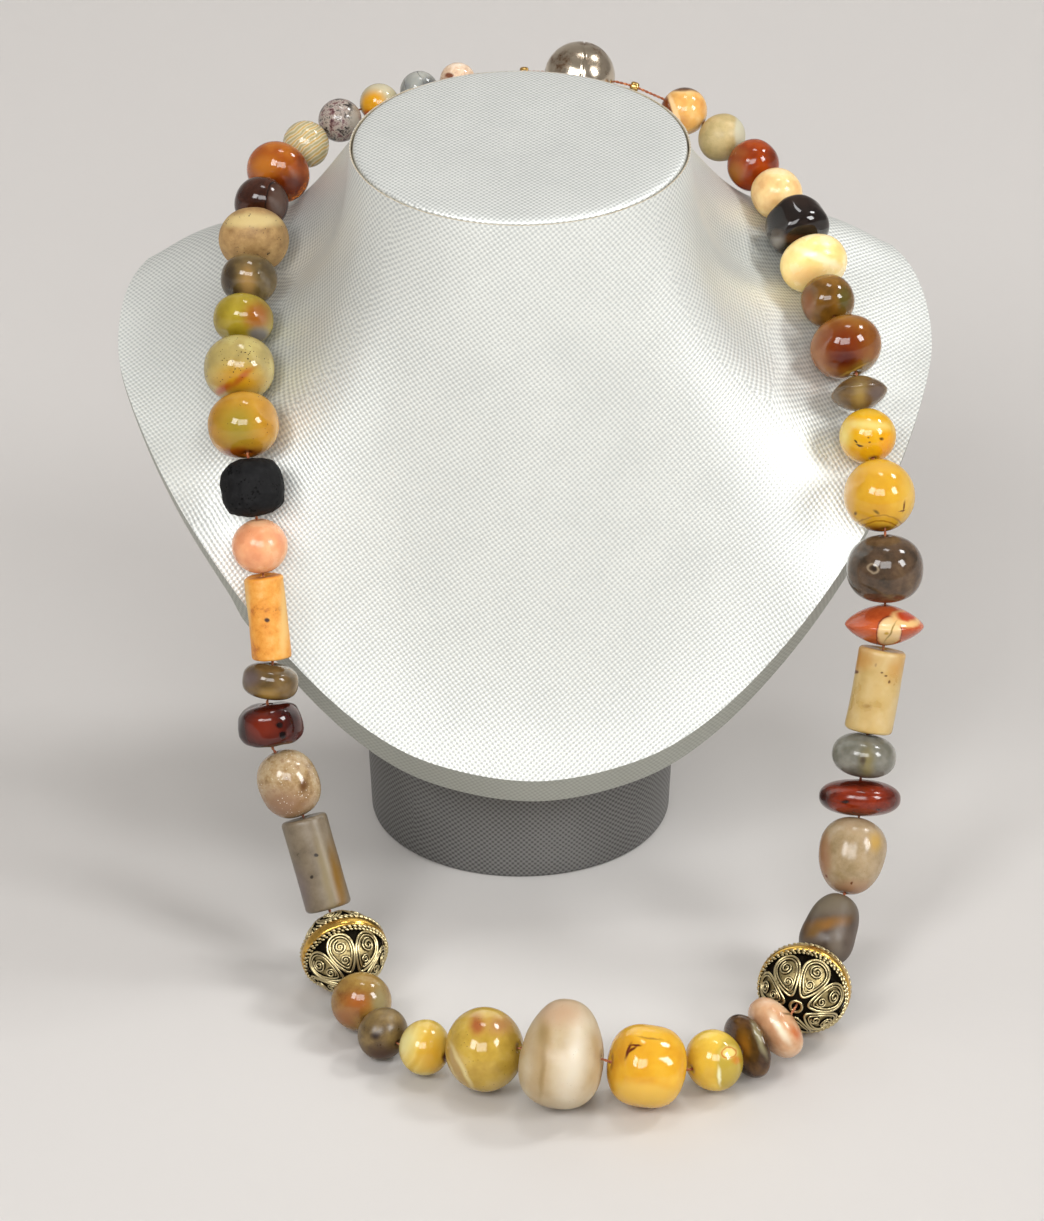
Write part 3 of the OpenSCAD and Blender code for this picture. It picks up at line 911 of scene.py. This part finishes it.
        M(4.8, 6.4, 2.8, 4.6, "#B98A42", 0.5, -24), M(1.8, 5.2, 0.35, 0.3, "#532E0D", 0.5),
        M(2.8, 4.2, 0.35, 0.25, "#532E0D", 0.5), M(3.7, 2.8, 0.3, 0.3, "#623D14", 0.5),
        M(0.2, 7.0, 0.3, 0.6, "#532E0D", 0.5), M(-4.4, 5.2, 0.45, 0.5, "#623411", 0.5),
        M(-1.8, -3.2, 0.9, 0.5, "#9B7B40"))), worn=0.5),
    "jasper_keel": Stone(KEEL, F(("#A2431E", "#B65228", "#C05F32"), MOTTLED, 5, rough=0.14, glow=0.15,
        specks=0.2, speck_size=0.3, speck_colour="#7C2A11", marks=(M(1.2, -1.4, 3.0, 4.2, "#DBBC88", 0.14),
        M(1.2, -1.4, 3.2, 4.4, "#6F2F1B", 0.07, 0, True), M(6.0, 2.6, 4.2, 2.4, "#DFB477", 0.2),
        M(6.2, 3.2, 3.0, 1.4, "#B63D15", 0.3), M(1.6, -0.8, 0.25, 2.6, "#90793F", 0.7, -30),
        M(0.4, -1.2, 0.5, 0.4, "#B28E36", 0.7))), worn=0.2),
    "dark_agate": Stone(SOFT, F(("#352A1F", "#53402F", "#6B563E"), MOTTLED, 7, rough=0.08, specks=0.12,
        speck_colour="#9C8366", marks=(M(-3.0, 0.8, 1.3, 1.0, "#8E7E68", 0.4, -30, True),
        M(-2.8, 0.7, 0.7, 0.6, "#2A1F17", 0.6, -30)))),
    "yolk_banded": Stone(ROUND, F(("#C49120", "#CD9D28", "#D3A839"), CLOUDY, 7, rough=0.07, glow=0.5,
        marks=(M(-8.2, -1.0, 2.2, 7.5, "#CBA159", 0.6), M(8.0, 2, 2.4, 7, "#D1AA4C"),
        M(0, 7.6, 6.0, 1.4, "#D3A43F"), M(0.4, -8.4, 6.4, 4.0, "#A57716", 0.08, 0, True),
        M(0.4, -8.6, 5.0, 2.9, "#9E6A11", 0.1, 0, True), M(0.4, -8.8, 4.0, 1.9, "#854608", 0.6),
        M(-0.7, -3.5, 0.9, 0.35, "#765811", 0.6, -35), M(-5.6, -3.9, 0.35, 0.5, "#67420B", 0.6),
        M(6.1, -2.1, 0.2, 1.3, "#673B0E", 0.6, -8), M(5.7, -3.2, 0.8, 0.18, "#673B0E", 0.6, 20)))),
    "mustard_round": Stone(ROUND, F(("#CE9810", "#D5A215", "#D2A62C"), CLOUDY, 6, rough=0.08, glow=0.5,
        specks=0.1, speck_size=0.3, marks=(M(0.6, 3.4, 6.0, 1.1, "#D5C272", 0.9, -4),
        M(-5.6, 1.0, 1.6, 2.8, "#D2BA5D", 0.9), M(5.2, -2.4, 2.0, 3.4, "#DD980E", 0.9),
        M(-2.8, -0.9, 0.5, 0.22, "#3B2406", 0.5, -50), M(-1.9, -1.7, 0.9, 0.22, "#3B2406", 0.5, -8),
        M(3.6, 0, 0.5, 0.4, "#653F0C", 0.6), M(0.2, 0.2, 0.25, 0.2, "#653F0C", 0.6),
        M(0.6, -0.9, 0.25, 0.2, "#653F0C", 0.6)))),
    "smoky_keel": Stone(KEEL, F(("#5D472A", "#7B6038", "#907344"), CLOUDY, 5, clear=0.2, rough=0.1,
        marks=(M(0.4, -1.0, 1.7, 4, "#A58B51"), M(4.6, 0.6, 2.2, 2.2, "#6A584F")))),
    # rust_round's thin pale line at the lower right is a painted highlight
    "rust_round": Stone(ROUND, F(("#8A5014", "#9A5E1A", "#A46F27"), CLOUDY, 6, clear=0.3, rough=0.05,
        specks=0.3, speck_size=0.3, speck_colour="#5A1C04", marks=(M(-0.5, 0.5, 5.6, 5.2, "#7C3007", 0.6),
        M(-0.6, -2.6, 3.0, 2.0, "#560F02"), M(4.8, -5.6, 4.6, 2.4, "#8E6B24", 0.4, 25),
        M(2.0, -5.4, 3.8, 0.28, "#C8A147", 0.6, 25)))),
    "olive_brown_round": Stone(SOFT, F(("#654413", "#7F561B", "#936829"), CLOUDY, 5, clear=0.25, rough=0.05,
        marks=(M(-4.8, 0, 1.4, 3.4, "#7F470D", 0.7), M(4.4, 1, 1.6, 3, "#615621", 0.7)))),
    "ivory_round": Stone(SOFT, F(("#EECD81", "#F9DB93", "#FDE4B0"), CLOUDY, 5, rough=0.24, glow=0.5,
        marks=(M(-2, -2.6, 4, 2, "#ECC481"), M(2, 1.6, 6, 1.0, "#FDE8BB", 0.7, -22))), worn=0.15),
    "black_chunk": Stone(CHUNK, F(("#0F0A09", "#1C1310", "#271B15"), CLOUDY, 6, rough=0.05, glow=0.1,
        marks=(M(1, -2.8, 4.5, 1.0, "#482915", 0.7), M(-5.2, -3.4, 2.2, 1.8, "#7A746D", 0.6),
        M(-5.0, -1.4, 1.8, 1.0, "#3D2F21", 0.7))), worn=1.2, worn_grain=8),
    "beige_round": Stone(SOFT, F(("#E2B679", "#F2CF91", "#F6DBA9"), CLOUDY, 5, rough=0.2, glow=0.5,
        specks=0.25, speck_size=0.3)),
    "chestnut_round": Stone(SOFT, F(("#8F3204", "#A73F05", "#B64D0C"), CLOUDY, 5, clear=0.3, rough=0.05,
        marks=(M(-4.8, -2.0, 2.2, 3.4, "#AD680A", 0.7, -20), M(-3.4, 3.6, 2.0, 1.2, "#A75721", 0.9),
        M(5.6, 2.4, 1.4, 3.0, "#772A06")))),
    "pale_green_round": Stone(ROUND, F(("#AA9765", "#B8A472", "#C7B282"), MOTTLED, 3, rough=0.4, glow=0.4,
        marks=(M(6.0, 1.4, 2.6, 5.5, "#C1BCA2", 0.25),))),
    "tiger_round": Stone(ROUND, F(("#CC904A", "#E0AC60", "#EAC284"), CLOUDY, 5, specks=0.14,
        marks=(M(-5.4, 0.5, 3.4, 6, "#7A3C18", 0.25, 18), M(-2.0, 0.5, 0.7, 6, "#F4CC94", 0.4, 18),
        M(1, 6.4, 5, 0.8, "#5C3A20", 0.6)))),
}


@dataclass(frozen=True)
class MetalFinish:
    """Gilt, silver-tone or blackened metal: full metallic and the default IOR, with blotches of tarnish."""

    name: str
    bright: str
    dull: str
    rough: float
    tarnish: float
    grain: float = 3.0

    def material(self) -> bpy.types.Material:
        """Builds the metal's material.

        Returns:
            The material.
        """
        shader = Shader(self.name)
        stain = shader.noise(shader.where(), self.grain * MM, 5.0, 0.65)
        share = shader.spread(stain, 0.68 - 0.3 * self.tarnish, 0.78 - 0.2 * self.tarnish)
        colour = shader.blend(share, linear(self.bright), linear(self.dull))
        gloss = shader.spread(share, 0.0, 1.0, self.rough, min(self.rough + 0.3, 1.0))
        normal = shader.bump(stain, 0.25)
        return shader.finish({"Base Color": colour, "Metallic": 1.0, "Roughness": gloss, "Normal": normal})


@dataclass(frozen=True)
class Ball:
    """The rounded body of a filigree ball: its radius at the middle and its reach along the string."""

    radius: float
    half: float

    def point(self, across: float, down: float, lift: float) -> Vector:
        """Finds a point on the ball.

        Args:
            across: Turn round the string's axis, in radians.
            down: Angle from the pole, in radians.
            lift: How far outside the ball the point lies.

        Returns:
            The point.
        """
        way = Vector((sin(down) * cos(across), sin(down) * sin(across), cos(down)))
        reach = 1 / sqrt((sin(down) / self.radius) ** 2 + (cos(down) / self.half) ** 2)
        return way * (reach + lift)


@dataclass
class Filigree:
    """A hollow ball of wirework: a smooth band between rope rings, and seven scrolled petals on each side."""

    petals: int = 7
    petal_top: float = radians(17)
    petal_low: float = radians(75)
    petal_half: float = 0.88 * pi / petals
    # Each of a petal's two rims: how far it is drawn in and its wire's half thickness
    rims: tuple[tuple[float, float], ...] = ((0.0, 0.34 * MM), (0.2, 0.22 * MM))
    # Where a rim that is drawn in has its middle: a share of the petal's length from the tip
    rim_middle: float = 0.6
    # Each spiral of a petal's S scroll: turns, outer radius, its middle's angle from the pole and its way
    spirals: tuple[tuple[float, float, float, int], ...] = ((2.0, 1.8 * MM, 56, 1), (1.7, 1.35 * MM, 36, -1))
    scroll_wire: float = 0.22 * MM
    # How far the wires of the rims and the scrolls lie outside the ball
    rim_lift: float = 0.05 * MM
    scroll_lift: float = 0.1 * MM
    # The dark wire under each bright one, partly oxidised metal and partly painted shade along it: how far it
    # lies below the wire and its thickness, as shares of the wire's
    shade_bed_depth: float = 0.85
    shade_bed_thick: float = 1.45
    band_half: float = 1.3 * MM
    # The band's section: how far outside the rim each corner lies, in millimetres, and its height as a share
    band_section: tuple[tuple[float, float], ...] = (
        (-1.3, -1),
        (-0.62, -1),
        (-0.4, -0.8),
        (-0.3, 0),
        (-0.4, 0.8),
        (-0.62, 1),
        (-1.3, 1),
    )
    # Each pair of rope rings, in millimetres: height above the band, thickness and distance inside the rim
    ropes: tuple[Point, ...] = ((0.42, 0.9, 0.75), (1.12, 0.7, 1.05))
    rope_slant: float = radians(38)
    # A rope's grain: its size against a ball's as thick as the rope, and its pitch in thicknesses
    grain_size: Point = (0.95, 1.75, 0.8)
    grain_pitch: float = 1.55
    # A spiral's steps in a turn, and its inner radius as a share of the outer one
    spiral_steps: int = 14
    spiral_start: float = 0.18
    # The part of a petal that its plate fills: along it, from the tip, and across it
    plate_along: tuple[float, float] = (0.03, 0.97)
    plate_across: float = 0.94
    # How far the body lies inside the rim and the ends of the bore
    rim_depth: float = 1.25 * MM
    end_depth: float = 0.35 * MM
    # The dark core's radius and length, less than the ball's
    core_radius_less: float = 0.3 * MM
    core_length_less: float = 0.8 * MM
    # The ring round each mouth of the bore: its radius, its wire's and how far it is let in
    collar_radius: float = 1.5 * MM
    collar_wire: float = 0.4 * MM
    collar_depth: float = 0.35 * MM

    def __post_init__(self) -> None:
        """Prepares the finishes: a brass band, champagne wires and plates, and a black that is partly
        oxidised metal and partly painted shade, under the wires and in the gaps.
        """
        self.brass = MetalFinish("bright_brass_band", "#DCB058", "#8A6628", 0.2, 0.3, 2.0).material()
        self.wires = MetalFinish("champagne_wire", "#CFC094", "#7A6A44", 0.28, 0.35, 1.6).material()
        self.plates = MetalFinish("champagne_plate", "#A6966A", "#5A4C30", 0.42, 0.55, 1.2).material()
        self.oxide_and_shade = MetalFinish("black_oxide_and_shade", "#1C1812", "#0A0806", 0.6, 0.6).material()

    def petal_reach(self, share: float) -> float:
        """Returns a petal's half width, as an angle at the band, at a share of its length from its tip."""
        bulge = 2 * sqrt(max(share * (1 - share), 0)) * (0.42 + 0.72 * share)
        return self.petal_half * bulge * sin(self.petal_low)

    def in_petal(self, point: Vector) -> bool:
        """Says whether a point of the core lies behind a petal's plate.

        Args:
            point: The point, from the ball's middle.

        Returns:
            Whether it lies behind a plate.
        """
        side = 1 if point.z > 0 else -1
        down = acos(abs(point.z) / point.length)
        share = (down - self.petal_top) / (self.petal_low - self.petal_top)
        first, last = self.plate_along
        if not first < share < last:
            return False
        pitch = FULL_TURN / self.petals
        across = (atan2(side * point.y, point.x) + pitch / 2) % pitch - pitch / 2
        return abs(across) < self.plate_across * self.petal_reach(share) / sin(down)

    def rope_ring(self, radius: float, height: float, thick: float) -> Piece:
        """Makes a ring of twisted wire: one slanted grain, repeated round the ball.

        Args:
            radius: The ring's radius.
            height: Its height above the ball's middle.
            thick: The rope's thickness.

        Returns:
            The ring.
        """
        count = round(FULL_TURN * radius / (self.grain_pitch * thick))
        clear_selection()
        bpy.ops.mesh.primitive_uv_sphere_add(segments=8, ring_count=6, radius=thick / 2)
        grain = bpy.context.object
        edit(grain)
        bpy.ops.transform.resize(value=self.grain_size)
        bpy.ops.transform.rotate(value=self.rope_slant, orient_axis="X", center_override=(0, 0, 0))
        bpy.ops.transform.translate(value=(radius, 0, height))
        bpy.ops.mesh.faces_shade_smooth()
        done()
        repeat_round(grain, count)
        return grain

    def petal_rim(self, ball: Ball, inset: float, steps: int = 30) -> list[Vector]:
        """Draws the teardrop outline of a petal.

        Args:
            ball: The ball's body.
            inset: How far the outline is drawn in, as a share of its size.
            steps: Points of the outline.

        Returns:
            The outline.
        """
        points = []
        for s in range(steps):
            t = FULL_TURN * s / steps
            share = (1 - cos(t)) / 2
            along = inset * self.rim_middle + (1 - inset) * share
            down = self.petal_top + (self.petal_low - self.petal_top) * along
            width = copysign(self.petal_reach(share), sin(t)) * (1 - inset)
            points.append(ball.point(width / sin(down), down, self.rim_lift))
        return points

    def scroll(self, ball: Ball, turns: float, size: float, centre: float, way: int) -> list[Vector]:
        """Draws one spiral of a petal's S scroll.

        Args:
            ball: The ball's body.
            turns: Turns of the spiral.
            size: The spiral's outer radius.
            centre: The angle of its middle from the pole, in degrees.
            way: 1 or -1, the way that it winds.

        Returns:
            The spiral's points.
        """
        steps = round(self.spiral_steps * turns)
        spiral = []
        for s in range(steps + 1):
            reach = size * (self.spiral_start + (1 - self.spiral_start) * s / steps)
            angle = way * (FULL_TURN * turns * (1 - s / steps) - pi / 2)
            down = radians(centre) - reach * sin(angle) / ball.radius
            side = way * reach * cos(angle) / (ball.radius * sin(down))
            spiral.append(ball.point(side, down, self.scroll_lift))
        return spiral

    def wire_and_shade_bed(self, points: Sequence[Vector], thick: float, loop: bool) -> list[Piece]:
        """Makes a bright wire and a darker, wider and lower wire under it, partly oxidised metal and partly
        painted shade along the wire.

        Args:
            points: The wire's centre line.
            thick: Half its thickness.
            loop: Whether it closes on itself.

        Returns:
            The wire and its bed, each with its finish.
        """
        bright = wire("petal_wire", points, thick, loop)
        dress(bright, self.wires)
        below = [p - p.normalized() * self.shade_bed_depth * thick for p in points]
        # Painted shade, with some real oxidised metal: the dark wire under the bright one shows as a dark
        # outline along it
        shade_bed = wire("petal_shade_bed", below, self.shade_bed_thick * thick, loop)
        dress(shade_bed, self.oxide_and_shade)
        return [bright, shade_bed]

    def petal(self, ball: Ball) -> Piece:
        """Makes one petal: a teardrop of double wire with an S scroll in it.

        Args:
            ball: The ball's body.

        Returns:
            The petal.
        """
        wires = []
        for inset, thick in self.rims:
            wires += self.wire_and_shade_bed(self.petal_rim(ball, inset), thick, loop=True)
        for spiral in self.spirals:
            wires += self.wire_and_shade_bed(self.scroll(ball, *spiral), self.scroll_wire, loop=False)
        return join(wires, "petal")

    def collar(self, end: float) -> Piece:
        """Makes the small ring round one mouth of the bore.

        Args:
            end: Its height above the ball's middle.

        Returns:
            The ring.
        """
        outline = []
        for s in range(8):
            t = FULL_TURN * s / 8
            x = self.collar_radius + self.collar_wire * cos(t)
            outline.append(Vector((x, 0, end + self.collar_wire * sin(t))))
        return turn("collar", outline, 20)

    def build(self, name: str, seat: Seat) -> Piece:
        """Builds the ball round the string.

        Args:
            name: The bead's name.
            seat: Its place on the string.

        Returns:
            The finished bead.
        """
        rim = seat.radius
        ball = Ball(rim - self.rim_depth, seat.length / 2 - self.end_depth)
        radius, length = ball.radius - self.core_radius_less, 2 * ball.half - self.core_length_less
        core = turn("core", half_outline(Cut.ROUND, radius, length, 48), 112)
        # Between the petals the core's black is partly oxidised metal and partly painted shade inside the
        # hollow ball
        dress(core, self.oxide_and_shade)
        dress(core, self.plates)
        for face in core.data.polygons:
            face.material_index = int(self.in_petal(face.center))
        section = [Vector((rim + r * MM, 0, share * self.band_half)) for r, share in self.band_section]
        band = turn("band", section, 64)
        dress(band, self.brass)
        petal = self.petal(ball)
        repeat_round(petal, self.petals)
        lower = copy_of(petal, "petals_below")
        edit(lower)
        bpy.ops.transform.rotate(value=pi, orient_axis="X", center_override=(0, 0, 0))
        done()
        ropes = [
            self.rope_ring(rim - inward * MM, side * (self.band_half + height * MM), thick * MM)
            for height, thick, inward in self.ropes
            for side in (-1, 1)
        ]
        mouths = [self.collar(side * (ball.half - self.collar_depth)) for side in (-1, 1)]
        for part in (*ropes, *mouths):
            dress(part, self.wires)
        piece = join([core, band, petal, lower, *ropes, *mouths], name + "_wirework")
        place(piece, seat.matrix())
        return piece


@dataclass(frozen=True)
class ClaspBall:
    """The plain clasp: two polished shells that close on a seam."""

    finish: MetalFinish = MetalFinish("polished_silver_tone", "#CDC1AE", "#7A6048", 0.16, 0.55, 5.0)
    # The seam's section in millimetres: depth and height
    seam: tuple[tuple[float, float], ...] = ((0.0, -0.3), (0.3, -0.12), (0.3, 0.12), (0.0, 0.3))
    # Outline points nearer the ball's middle plane than this give way to the seam
    seam_reach: float = 0.4 * MM

    def build(self, name: str, seat: Seat) -> Piece:
        """Turns the ball, with its seam at the middle of its outline, and sets it on the string.

        Args:
            name: The bead's name.
            seat: Its place on the string.

        Returns:
            The finished bead.
        """
        points: list[Vector] = []
        for point in half_outline(Cut.ROUND, seat.radius, seat.length, 32):
            if abs(point.z) < self.seam_reach and point.x > 2 * BORE:
                points += [Vector((seat.radius - deep * MM, 0, height * MM)) for deep, height in self.seam]
            else:
                points.append(point)
        piece = turn(name + "_shells", points, 64)
        place(piece, seat.matrix())
        dress(piece, self.finish.material())
        return piece


@dataclass(frozen=True)
class Crimp:
    """A small gilt barrel squeezed on the thread."""

    finish: MetalFinish = MetalFinish("bright_gilt", "#D8B068", "#80602C", 0.2, 0.3, 1.5)

    def build(self, name: str, seat: Seat) -> Piece:
        """Turns the barrel with rounded ends and sets it on the thread.

        Args:
            name: The bead's name.
            seat: Its place on the string.

        Returns:
            The finished bead.
        """
        piece = turn(name + "_barrel", half_outline(Cut.BARREL, seat.radius, seat.length, 12), 24)
        place(piece, seat.matrix())
        dress(piece, self.finish.material())
        return piece


@dataclass
class Thread:
    """The string: two plies of waxed copper-coloured cord, twisted, through every bore."""

    # Thickness of the thread, length of one turn of its plies, and of one step along it where it shows
    thick: float = 0.7 * MM
    lay: float = 2.2 * MM
    step: float = 0.25 * MM
    # Half the thickness of a ply, as a share of the thread's
    ply: float = 0.27
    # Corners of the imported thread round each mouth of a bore, and how near two of them are one
    corners_round: int = 6
    corner_gap: float = 0.01 * MM

    def __post_init__(self) -> None:
        """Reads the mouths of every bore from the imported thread."""
        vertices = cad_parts["thread"].data.vertices
        corners = {tuple(round(c / self.corner_gap) for c in v.co): v.co.copy() for v in vertices}
        self.corners = list(corners.values())

    def mouth(self, middle: Vector, way: Vector) -> Vector:
        """Finds the mouth of a bore on one side of a bead's middle.

        Args:
            middle: The bead's middle.
            way: The side, as a direction along the string.

        Returns:
            The middle of the mouth.
        """
        ahead = [c for c in self.corners if (c - middle).dot(way) > 0]
        ring = sorted(ahead, key=lambda c: (c - middle).length)[: self.corners_round]
        return sum(ring, Vector()) / len(ring)

    def seats(self, names: Sequence[str]) -> dict[str, Seat]:
        """Finds each bead's seat.

        Args:
            names: The beads in stringing order.

        Returns:
            The seats by name.
        """
        middles = [(low + high) / 2 for low, high in (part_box(n) for n in names)]
        seats = {}
        for i, name in enumerate(names):
            way = middles[(i + 1) % len(names)] - middles[i - 1]
            start, end = self.mouth(middles[i], -way), self.mouth(middles[i], way)
            axis = (end - start).normalized()
            offsets = (v.co - middles[i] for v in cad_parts[name].data.vertices)
            radius = max((o - axis * o.dot(axis)).length for o in offsets)
            seats[name] = Seat(middles[i], axis, (end - start).length, radius)
        return seats

    def material(self) -> bpy.types.Material:
        """Builds the waxed thread: fibres with a faint sheen.

        Returns:
            The material.
        """
        shader = Shader("twisted_waxed_thread")
        fibres = shader.noise(shader.where(), 0.8 * MM, 4.0)
        colour = shader.tone(fibres, ("#6E2E14", "#A8582C", "#CC8A54"), 0.3, 0.7)
        normal = shader.bump(fibres, 0.5, 0.05 * MM)
        return shader.finish({"Base Color": colour, "Roughness": 0.5, "Sheen Weight": 0.2, "Normal": normal})

    def build(self, seats: Sequence[Seat]) -> Piece:
        """Twists the two plies through every bore, finely where they show and coarsely in the bores.

        Args:
            seats: The beads' seats in stringing order.

        Returns:
            The finished thread.
        """
        stops = [seat.middle + seat.axis * seat.length / 2 * side for seat in seats for side in (-1, 1)]
        plies: tuple[list[Vector], list[Vector]] = ([], [])
        run = 0.0
        for i, (start, end) in enumerate(zip(stops, stops[1:] + stops[:1])):
            way = end - start
            shown = i % 2 == 1
            steps = max(1, round(way.length / (self.step if shown else self.lay)))
            aside = way.cross(Vector((0.2, 0.3, 1.0))).normalized()
            for s in range(steps):
                along = run + way.length * s / steps if shown else run
                offset = Matrix.Rotation(FULL_TURN * along / self.lay, 3, way) @ aside * self.thick / 4
                for ply, side in zip(plies, (1, -1)):
                    ply.append(start.lerp(end, s / steps) + side * offset)
            run += way.length if shown else 0.0
        wires = [wire("thread_ply", ply, self.ply * self.thick, loop=True) for ply in plies]
        piece = join(wires, "thread_plies")
        dress(piece, self.material())
        return piece


@dataclass(frozen=True)
class Leatherette:
    """Embossed silver-grey vinyl on cloth: a fine staggered grain of bright bumps with grey gaps.

    Its pearl pigment gives it a part of a metal's sheen. The grain has its real size, 1.45 mm along a row.
    """

    name: str
    bump_colour: str
    gap_colour: str
    repeat: float = 1.45 * MM
    lean: float = 8.0
    rough: float = 0.52
    metallic: float = 0.65
    depth: float = 0.12 * MM
    # How far the rows stray, in radians of the grain's wave, and over what length
    wander: float = 2.4
    wander_size: float = 5 * MM
    # Size of the worn and fresh areas
    wear_size: float = 14 * MM

    def material(self) -> bpy.types.Material:
        """Builds the leatherette, for a piece whose UV map is in metres.

        Returns:
            The material.
        """
        shader = Shader(self.name)
        where = shader.where()
        waves = FULL_TURN / self.repeat
        sockets = {
            "Vector": shader.where("UV"),
            "Rotation": (0, 0, radians(self.lean)),
            "Scale": (waves, waves, 0),
        }
        grid = shader.add("Mapping", sockets).outputs[0]
        strayed = shader.stray(where, grid, self.wander_size, self.wander)
        split = shader.add("SeparateXYZ", {0: strayed})
        rows = [shader.maths("COSINE", split.outputs[i]) for i in (0, 1)]
        bumps = shader.maths("MULTIPLY", *rows)
        wear = shader.noise(where, self.wear_size, 4.0)
        worn = shader.maths("MULTIPLY_ADD", wear, 0.6, bumps)
        share = shader.spread(worn, -0.5, 0.9, smooth=True)
        sockets = {
            "Base Color": shader.blend(share, linear(self.gap_colour), linear(self.bump_colour)),
            "Metallic": self.metallic,
            "Roughness": self.rough,
            "IOR": 1.5,
            "Normal": shader.bump(bumps, 0.35, self.depth),
        }
        return shader.finish(sockets)


@dataclass(frozen=True)
class Bust:
    """The neck bust: a padded body, the padded cap in its rim and the round pedestal."""

    body_skin: Leatherette = Leatherette("embossed_leatherette", "#EDF0EC", "#C9CDCB")
    cap_skin: Leatherette = Leatherette("embossed_leatherette_cap", "#F1F4F1", "#C6CAC8", lean=4.0)
    foot_skin: Leatherette = Leatherette("embossed_leatherette_dark", "#868684", "#5C5B5A", lean=0.0)
    # The underside's darker, flatter grey is painted shade on the faces that point down
    underside_shade_skin: Leatherette = Leatherette("embossed_leatherette_painted_shade", "#B8BAB2", "#A6A8A0")
    hem_skin: Leatherette = Leatherette("beige_backing_cloth", "#E6DCC8", "#CFC2A8")
    # The hem's outer edge beyond the cap: the cap's groove of 0.4 mm and the hem itself
    hem_margin: float = 0.7 * MM
    # Faces whose planes turn by less than this become one face, and pairs of triangles up to this quads
    same_plane: float = radians(0.05)
    quad_limit: float = radians(60)
    # A face that points down by more than this belongs to the underside, which gets a painted shade
    downward: float = 0.1

    def skin(self, node: str, sharp: float, edge: float, smooth: int, finish: Leatherette) -> Piece:
        """Copies a CAD solid, rounds its sharp edges, smooths it and covers it.

        Args:
            node: The CAD node.
            sharp: The least angle of an edge that is rounded, in degrees.
            edge: How far such an edge is rounded.
            smooth: Levels of the subdivision surface.
            finish: The leatherette that covers it.

        Returns:
            The piece.
        """
        piece = copy_of(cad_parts[node], node + "_skin")
        piece.data.materials.clear()
        edit(piece)
        bpy.ops.mesh.remove_doubles(threshold=WELD)
        bpy.ops.mesh.dissolve_limited(angle_limit=self.same_plane)
        bpy.ops.mesh.select_all(action="SELECT")
        bpy.ops.mesh.tris_convert_to_quads(face_threshold=self.quad_limit, shape_threshold=self.quad_limit)
        bpy.ops.mesh.select_all(action="DESELECT")
        bpy.ops.mesh.select_mode(type="EDGE")
        bpy.ops.mesh.edges_select_sharp(sharpness=radians(sharp))
        bpy.ops.mesh.bevel(offset=edge, segments=3, affect="EDGES", clamp_overlap=True)
        bpy.ops.mesh.select_mode(type="VERT")
        bpy.ops.mesh.select_all(action="SELECT")
        bpy.ops.mesh.faces_shade_smooth()
        done()
        if smooth:
            modify(piece, "SUBSURF", levels=smooth, render_levels=smooth)
        edit(piece)
        bpy.ops.uv.cube_project(cube_size=1.0, correct_aspect=False)
        done()
        dress(piece, finish.material())
        return piece

    def recover(self, piece: Piece, finish: Leatherette, faces: Sequence[bpy.types.MeshPolygon]) -> None:
        """Covers some faces of a piece with another finish.

        Args:
            piece: The piece.
            finish: The other finish.
            faces: The faces that it covers.
        """
        dress(piece, finish.material())
        for face in faces:
            face.material_index = len(piece.data.materials) - 1

    def underside(self, body: Piece) -> list[bpy.types.MeshPolygon]:
        """Finds the faces of the body's outer edge band and underside, which all face down and get a painted
        shade.
        """
        return [face for face in body.data.polygons if face.normal.z < -self.downward]

    def hem(self, body: Piece) -> list[bpy.types.MeshPolygon]:
        """Finds the faces of the body's rim beside the cap's groove.

        Args:
            body: The finished body.

        Returns:
            The faces.
        """
        low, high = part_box("bust_cap")
        middle, half = (low + high) / 2, (high - low) / 2
        wide, deep = half.x + self.hem_margin, half.y + self.hem_margin
        hem = []
        for face in body.data.polygons:
            offset = face.center - middle
            if face.center.z > low.z and (offset.x / wide) ** 2 + (offset.y / deep) ** 2 < 1:
                hem.append(face)
        return hem

    def build(self) -> None:
        """Builds the three pieces of the bust."""
        body = self.skin("bust_body", 40, 0.7 * MM, 2, self.body_skin)
        # Painted shade: the faces that point down get the darker grey
        self.recover(body, self.underside_shade_skin, self.underside(body))
        self.recover(body, self.hem_skin, self.hem(body))
        hand_in(body, "bust_body", "leatherette")
        cap = self.skin("bust_cap", 50, 0.5 * MM, 2, self.cap_skin)
        hand_in(cap, "bust_cap", "leatherette")
        foot = self.skin("bust_pedestal", 50, 1.0 * MM, 0, self.foot_skin)
        hand_in(foot, "bust_pedestal", "dark_leatherette")


@dataclass(frozen=True)
class Necklace:
    """The whole strand: stones, filigree balls, clasp, crimps and thread."""

    # The filigree balls come after the nineteenth stone and after the twenty-eighth
    left: tuple[str, ...] = tuple(STONES)[:19]
    front: tuple[str, ...] = tuple(STONES)[19:28]
    right: tuple[str, ...] = tuple(STONES)[28:]

    def names(self) -> tuple[str, ...]:
        """Names every bead in stringing order."""
        left, right = ("clasp_ball", "crimp_left", *self.left), (*self.right, "crimp_right")
        return (*left, "filigree_left", *self.front, "filigree_right", *right)

    def build(self) -> None:
        """Builds every piece of the strand in stringing order."""
        thread = Thread()
        names = self.names()
        seats = thread.seats(names)
        metal = {
            "filigree": (Filigree(), "gilt_filigree"),
            "clasp": (ClaspBall(), "clasp_metal"),
            "crimp": (Crimp(), "gilt_crimp"),
        }
        for name in names:
            maker, slot = (STONES[name], name + "_stone") if name in STONES else metal[name.split("_")[0]]
            hand_in(maker.build(name, seats[name]), name, slot)
        hand_in(thread.build([seats[n] for n in names]), "thread", "copper_thread")


def main() -> None:
    """Builds the studio, the bust and the necklace."""
    logging.basicConfig(level=logging.INFO, format="%(name)s: %(message)s")
    bpy.context.tool_settings.mesh_select_mode = (True, False, False)
    Studio().build()
    Bust().build()
    Necklace().build()


if __name__ == "__main__":
    main()
